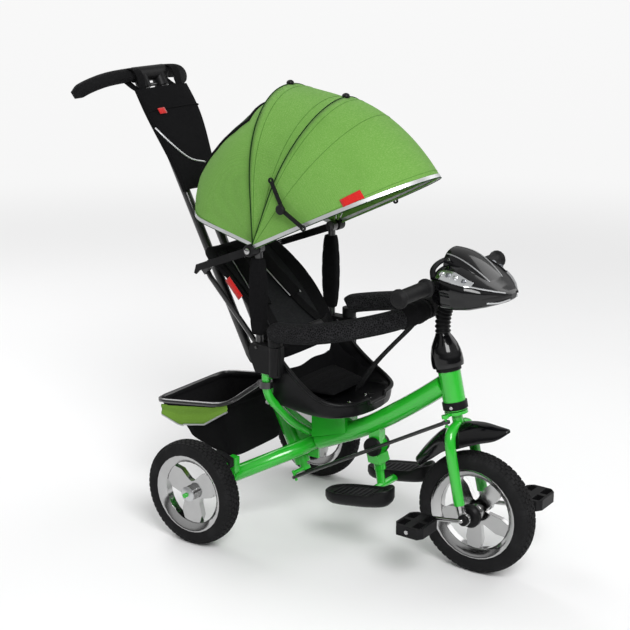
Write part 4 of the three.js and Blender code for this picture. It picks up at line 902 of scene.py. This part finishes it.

# toy dashboard: body, windshield, lamp panels, trim and painted highlight strips
# each row of the dashboard: place along it, low edge, belt, top, half width
dash = [(84, 574, 590, 600, 36), (76, 562, 589, 608, 54), (62, 550, 588, 622, 70), (36, 545, 588, 634, 83),
        (8, 546, 588, 632, 88), (-22, 550, 587, 619, 84), (-50, 557, 586, 604, 66), (-70, 563, 585, 594, 46),
        (-84, 568, 582, 588, 26), (-90, 573, 580, 583, 12)]


def dashPlace(y):  # the whole dashboard drawn in a little, front to back
    return 97 - 0.92 * (84 - y)


def dashPoint(u, v, proud=0.0):
    k = min(len(dash) - 2, int(v * (len(dash) - 1)))
    t = v * (len(dash) - 1) - k
    y, low, belt, high, half = (a + (b - a) * t for a, b in zip(dash[k], dash[k + 1]))
    y = dashPlace(y)
    a = 2 * math.pi * u
    c, d = math.cos(a), math.sin(a)
    if d >= 0:
        x, z = (half + proud) * abs(c) ** 0.75, belt + (high - belt + proud) * d ** 0.85
    else:
        x, z = (half * 0.94 - 2 + proud) * abs(c) ** 0.4, belt - 1.6 - (belt - 1.6 - low + proud) * abs(d) ** 0.5
    return at(math.copysign(x, c), y, z)


grid("console_body", dashPoint, 96, 72, "gloss", "steering", roundU=True, angle=40, smoothing=1, node="console")
ringCap("console_back", dashPoint, 0, 96, "plastic", "steering")
ringCap("console_nose", dashPoint, 1, 96, "gloss", "steering")


def shieldPoint(u, v):
    a = (2 * u - 1) * math.pi / 2
    y = dashPlace(-50 + 102 * v)
    half = 27 + 17 * math.sin(math.pi * min(1, 0.1 + v * 0.62))
    low = 598 + 22 * math.sin(math.pi * 0.5 * v)
    high = 603 + 52 * math.sin(math.pi / 2 * v) ** 0.9
    return at(half * math.sin(a), y, low + (high - low) * math.cos(a) ** 0.62)


grid("console_windshield", shieldPoint, 48, 36, "gloss", "steering", smoothing=1)
piece("console_windshield_back", [shieldPoint(i / 48, 1) for i in range(49)], [tuple(range(49))], "plastic", "steering")
lampBead = [(0, 3.2), (2.6, 2.8), (4.4, 1.4), (5, -0.6), (6, -1.6), (0, -1.6)]
noseTrim = {"grille": [(52, -58, 570), (36, -76, 570), (14, -89, 574)],
            "fin": [(58, -50, 578), (38, -72, 580), (12, -90, 583)]}
for side, word in ((1, "left"), (-1, "right")):
    # silver strips down the windshield's sides and over the nose: painted highlights where the gloss black catches the
    # light
    edge = [shieldPoint(0.5 + side * 0.27, 0.98 - 0.96 * t / 30) for t in range(31)]
    swept(f"console_painted_highlight_{word}", edge, lambda t: circle(1.5, 8), "silver", "steering")
    nose = [dashPoint(0.25 - side * (0.17 - 0.04 * t / 12), 0.58 + 0.3 * t / 12, 1) for t in range(13)]
    swept(f"console_nose_painted_highlight_{word}", nose, lambda t: band(6 - 3 * t, 2), "silver", "steering")
    near = (0.135, 0.055) if side > 0 else (0.365, 0.445)

    def panelPoint(u, v, near=near):
        taper = 0.5 + 0.5 * math.sin(math.pi * (0.12 + 0.76 * u))
        return dashPoint(near[0] + (near[1] - near[0]) * (0.5 + (v - 0.5) * taper), 0.27 + 0.33 * u, 1.3)

    grid(f"headlight_panel_{word}", panelPoint, 36, 10, "lens", "steering", thick=2.2, smoothing=1, node=f"headlight_{word}")
    rim = border(lambda v, u: panelPoint(u, v), 6, 20)
    swept(f"headlight_rim_{word}", rim, lambda t: circle(1.1, 8), "gloss", "steering", closed=True)
    for k in range(4):
        spot = panelPoint(0.2 + 0.2 * k, 0.5)
        turned(f"headlight_lamp_{word}_{k + 1}", mirrored(lampBead, side), spot, "lampRing" if k % 2 else "lens",
               "steering", 24)
    grille, fin = ([at(side * x, dashPlace(y), z) for x, y, z in noseTrim[trim]] for trim in ("grille", "fin"))
    swept(f"console_grille_{word}", smoothLine(grille, 6), lambda t: band(2.2, 3), "silver", "steering")
    swept(f"console_fin_{word}", smoothLine(fin, 6), lambda t: band(5, 3.4), "gloss", "steering")
hoodPoints = [(-70, 56, 606), (-56, 66, 618), (-30, 72, 624), (0, 74, 626), (30, 72, 624), (56, 66, 618), (70, 56, 606)]
hood = smoothLine([at(x, dashPlace(y), z) for x, y, z in hoodPoints], 6)
swept("console_hood", hood, lambda t: circle(5.5, 14, 0.7), "plastic", "steering")
key = [at(x, dashPlace(y), z) for x, y, z in ((-34, 44, 634), (-42, 38, 640), (-50, 32, 638))]
tube("console_key", key, 2.2, "chrome", "steering")

# foot pads with ribbed tops
padLook = {"x": 79.6, "y": 225, "z": 130, "half": 33, "reach": 78, "depth": 13, "slope": 0.16, "ribs": 9}


def padRing(a, grow, height):
    x = (padLook["half"] + grow) * softened(math.cos(a), 0.75)
    y = padLook["y"] + (padLook["reach"] + grow) * softened(math.sin(a), 0.7)
    wall = 9 * ease((padLook["y"] - 34 - y) / 30) if height > 0 and grow > -7 else 0
    return x, y, padLook["z"] + padLook["slope"] * (padLook["y"] - y) + height + wall


padProfile = [(-24, -15), (-9, -14), (-3, -8), (0, 0), (0, 11), (-1.4, 13), (-4, 13), (-7.4, 9.5), (-12, 9), (-24, 9),
              (-30, 9)]
for side, word in ((1, "left"), (-1, "right")):
    def padPoint(u, v, side=side):
        k = min(len(padProfile) - 2, int(v * (len(padProfile) - 1) + 1e-6))
        t = v * (len(padProfile) - 1) - k
        (g1, h1), (g2, h2) = padProfile[k], padProfile[k + 1]
        x, y, z = padRing(2 * math.pi * u, g1 + (g2 - g1) * t, h1 + (h2 - h1) * t)
        return at(side * (padLook["x"] + x), y, z)

    body = f"foot_pad_{word}"
    grid(body + "_moulded", padPoint, 64, 2 * (len(padProfile) - 1), "plastic", "footrest", roundU=True, angle=50, node=body)
    for v, end in ((0, "under"), (1, "top")):
        ringCap(f"{body}_{end}", padPoint, v, 64, "plastic", "footrest")
    for k in range(padLook["ribs"]):
        y = padLook["y"] - 44 + 96 * k / (padLook["ribs"] - 1)
        z = padLook["z"] + padLook["slope"] * (padLook["y"] - y) + 9.6
        rib = [at(side * padLook["x"] + across, y, z) for across in (-21, 0, 21)]
        tube(f"{body}_rib_{k + 1}", rib, 1.7, "plastic", "footrest", straight=True, sides=10)
hinge = [(0, 24), (13, 23.4), (19, 21), (20, 17), (20, 12.5), (0, 12.5)]
for side, word in ((1, "left"), (-1, "right")):
    turned(f"footrest_hinge_{word}", mirrored(hinge, side), at(0, 236, 213), "plastic", "footrest", 40)
print("dashboard and foot pads ready")

# floor and light
floorSize = 70
floor = bpy.data.objects.new("floor", bpy.data.meshes.new("floor"))
corners = [(x * floorSize, y * floorSize, -0.0005) for x, y in ((-1, -1), (1, -1), (1, 1), (-1, 1))]  # just below the tyres
floor.data.from_pydata(corners, [], [(0, 1, 2, 3)])
floorPaint = Paint("paleFloor", Roughness=0.6, Specular_IOR_Level=0.2)
reach = floorPaint.add("ShaderNodeVectorMath", {"operation": "LENGTH"}, {0: floorPaint.place}, out=1)
far = reach.step(0.9, 4.5)
nearTone = floorPaint.mix((0.85, 0.85, 0.853), (0.88, 0.88, 0.883), floorPaint.noise(1.5, 2))
floorPaint.set("Base Color", floorPaint.mix(nearTone, (0.0, 0.0, 0.0), far))
floorPaint.set("Emission Color", floorPaint.mix((0.0, 0.0, 0.0), (0.9, 0.9, 0.9), far))
floorPaint.set("Emission Strength", 1.0)
floor.data.materials.append(floorPaint.material)
bpy.context.scene.collection.objects.link(floor)

world = bpy.data.worlds.new("studio")
world.use_nodes = True
studio = world.node_tree.nodes
join = world.node_tree.links.new
sky = {"seen": 0.92, "strength": 0.46,
       "stops": [(0.0, 0.5), (0.47, 0.5), (0.5, 0.16), (0.56, 0.2), (0.66, 1.0), (0.84, 1.15), (1.0, 0.9)]}
ramp = studio.new("ShaderNodeValToRGB")
while len(ramp.color_ramp.elements) < len(sky["stops"]):
    ramp.color_ramp.elements.new(0.5)
for element, (position, level) in zip(ramp.color_ramp.elements, sky["stops"]):
    element.position = position
    element.color = (level, level, level, 1)
coordinates, parts, height = (studio.new("ShaderNode" + kind) for kind in ("TexCoord", "SeparateXYZ", "MapRange"))
join(coordinates.outputs["Generated"], parts.inputs[0])
join(parts.outputs[2], height.inputs["Value"])
height.inputs["From Min"].default_value = -1
join(height.outputs[0], ramp.inputs[0])
join(ramp.outputs[0], studio["Background"].inputs[0])
studio["Background"].inputs[1].default_value = sky["strength"]
backdrop, rays, choose = (studio.new("ShaderNode" + kind) for kind in ("Background", "LightPath", "MixShader"))
backdrop.inputs[0].default_value = (sky["seen"], sky["seen"], sky["seen"], 1)
join(rays.outputs["Is Camera Ray"], choose.inputs[0])
join(studio["Background"].outputs[0], choose.inputs[1])
join(backdrop.outputs[0], choose.inputs[2])
join(choose.outputs[0], studio["World Output"].inputs[0])
bpy.context.scene.world = world
lights = {"key": ((-1700, -1700, 2500), 1.5, 92), "fill": ((2400, -900, 1900), 2.0, 20), "back": ((600, 2700, 2300), 2.0, 44)}
for name, (place, size, power) in lights.items():
    lamp = bpy.data.objects.new(name, bpy.data.lights.new(name, "AREA"))
    lamp.data.size = size
    lamp.data.energy = power
    lamp.location = at(*place)
    lamp.rotation_euler = (at(0, 380, 420) - lamp.location).to_track_quat("-Z", "Y").to_euler()
    bpy.context.scene.collection.objects.link(lamp)
bpy.context.scene.view_settings.view_transform = "Standard"
print("floor and light ready")
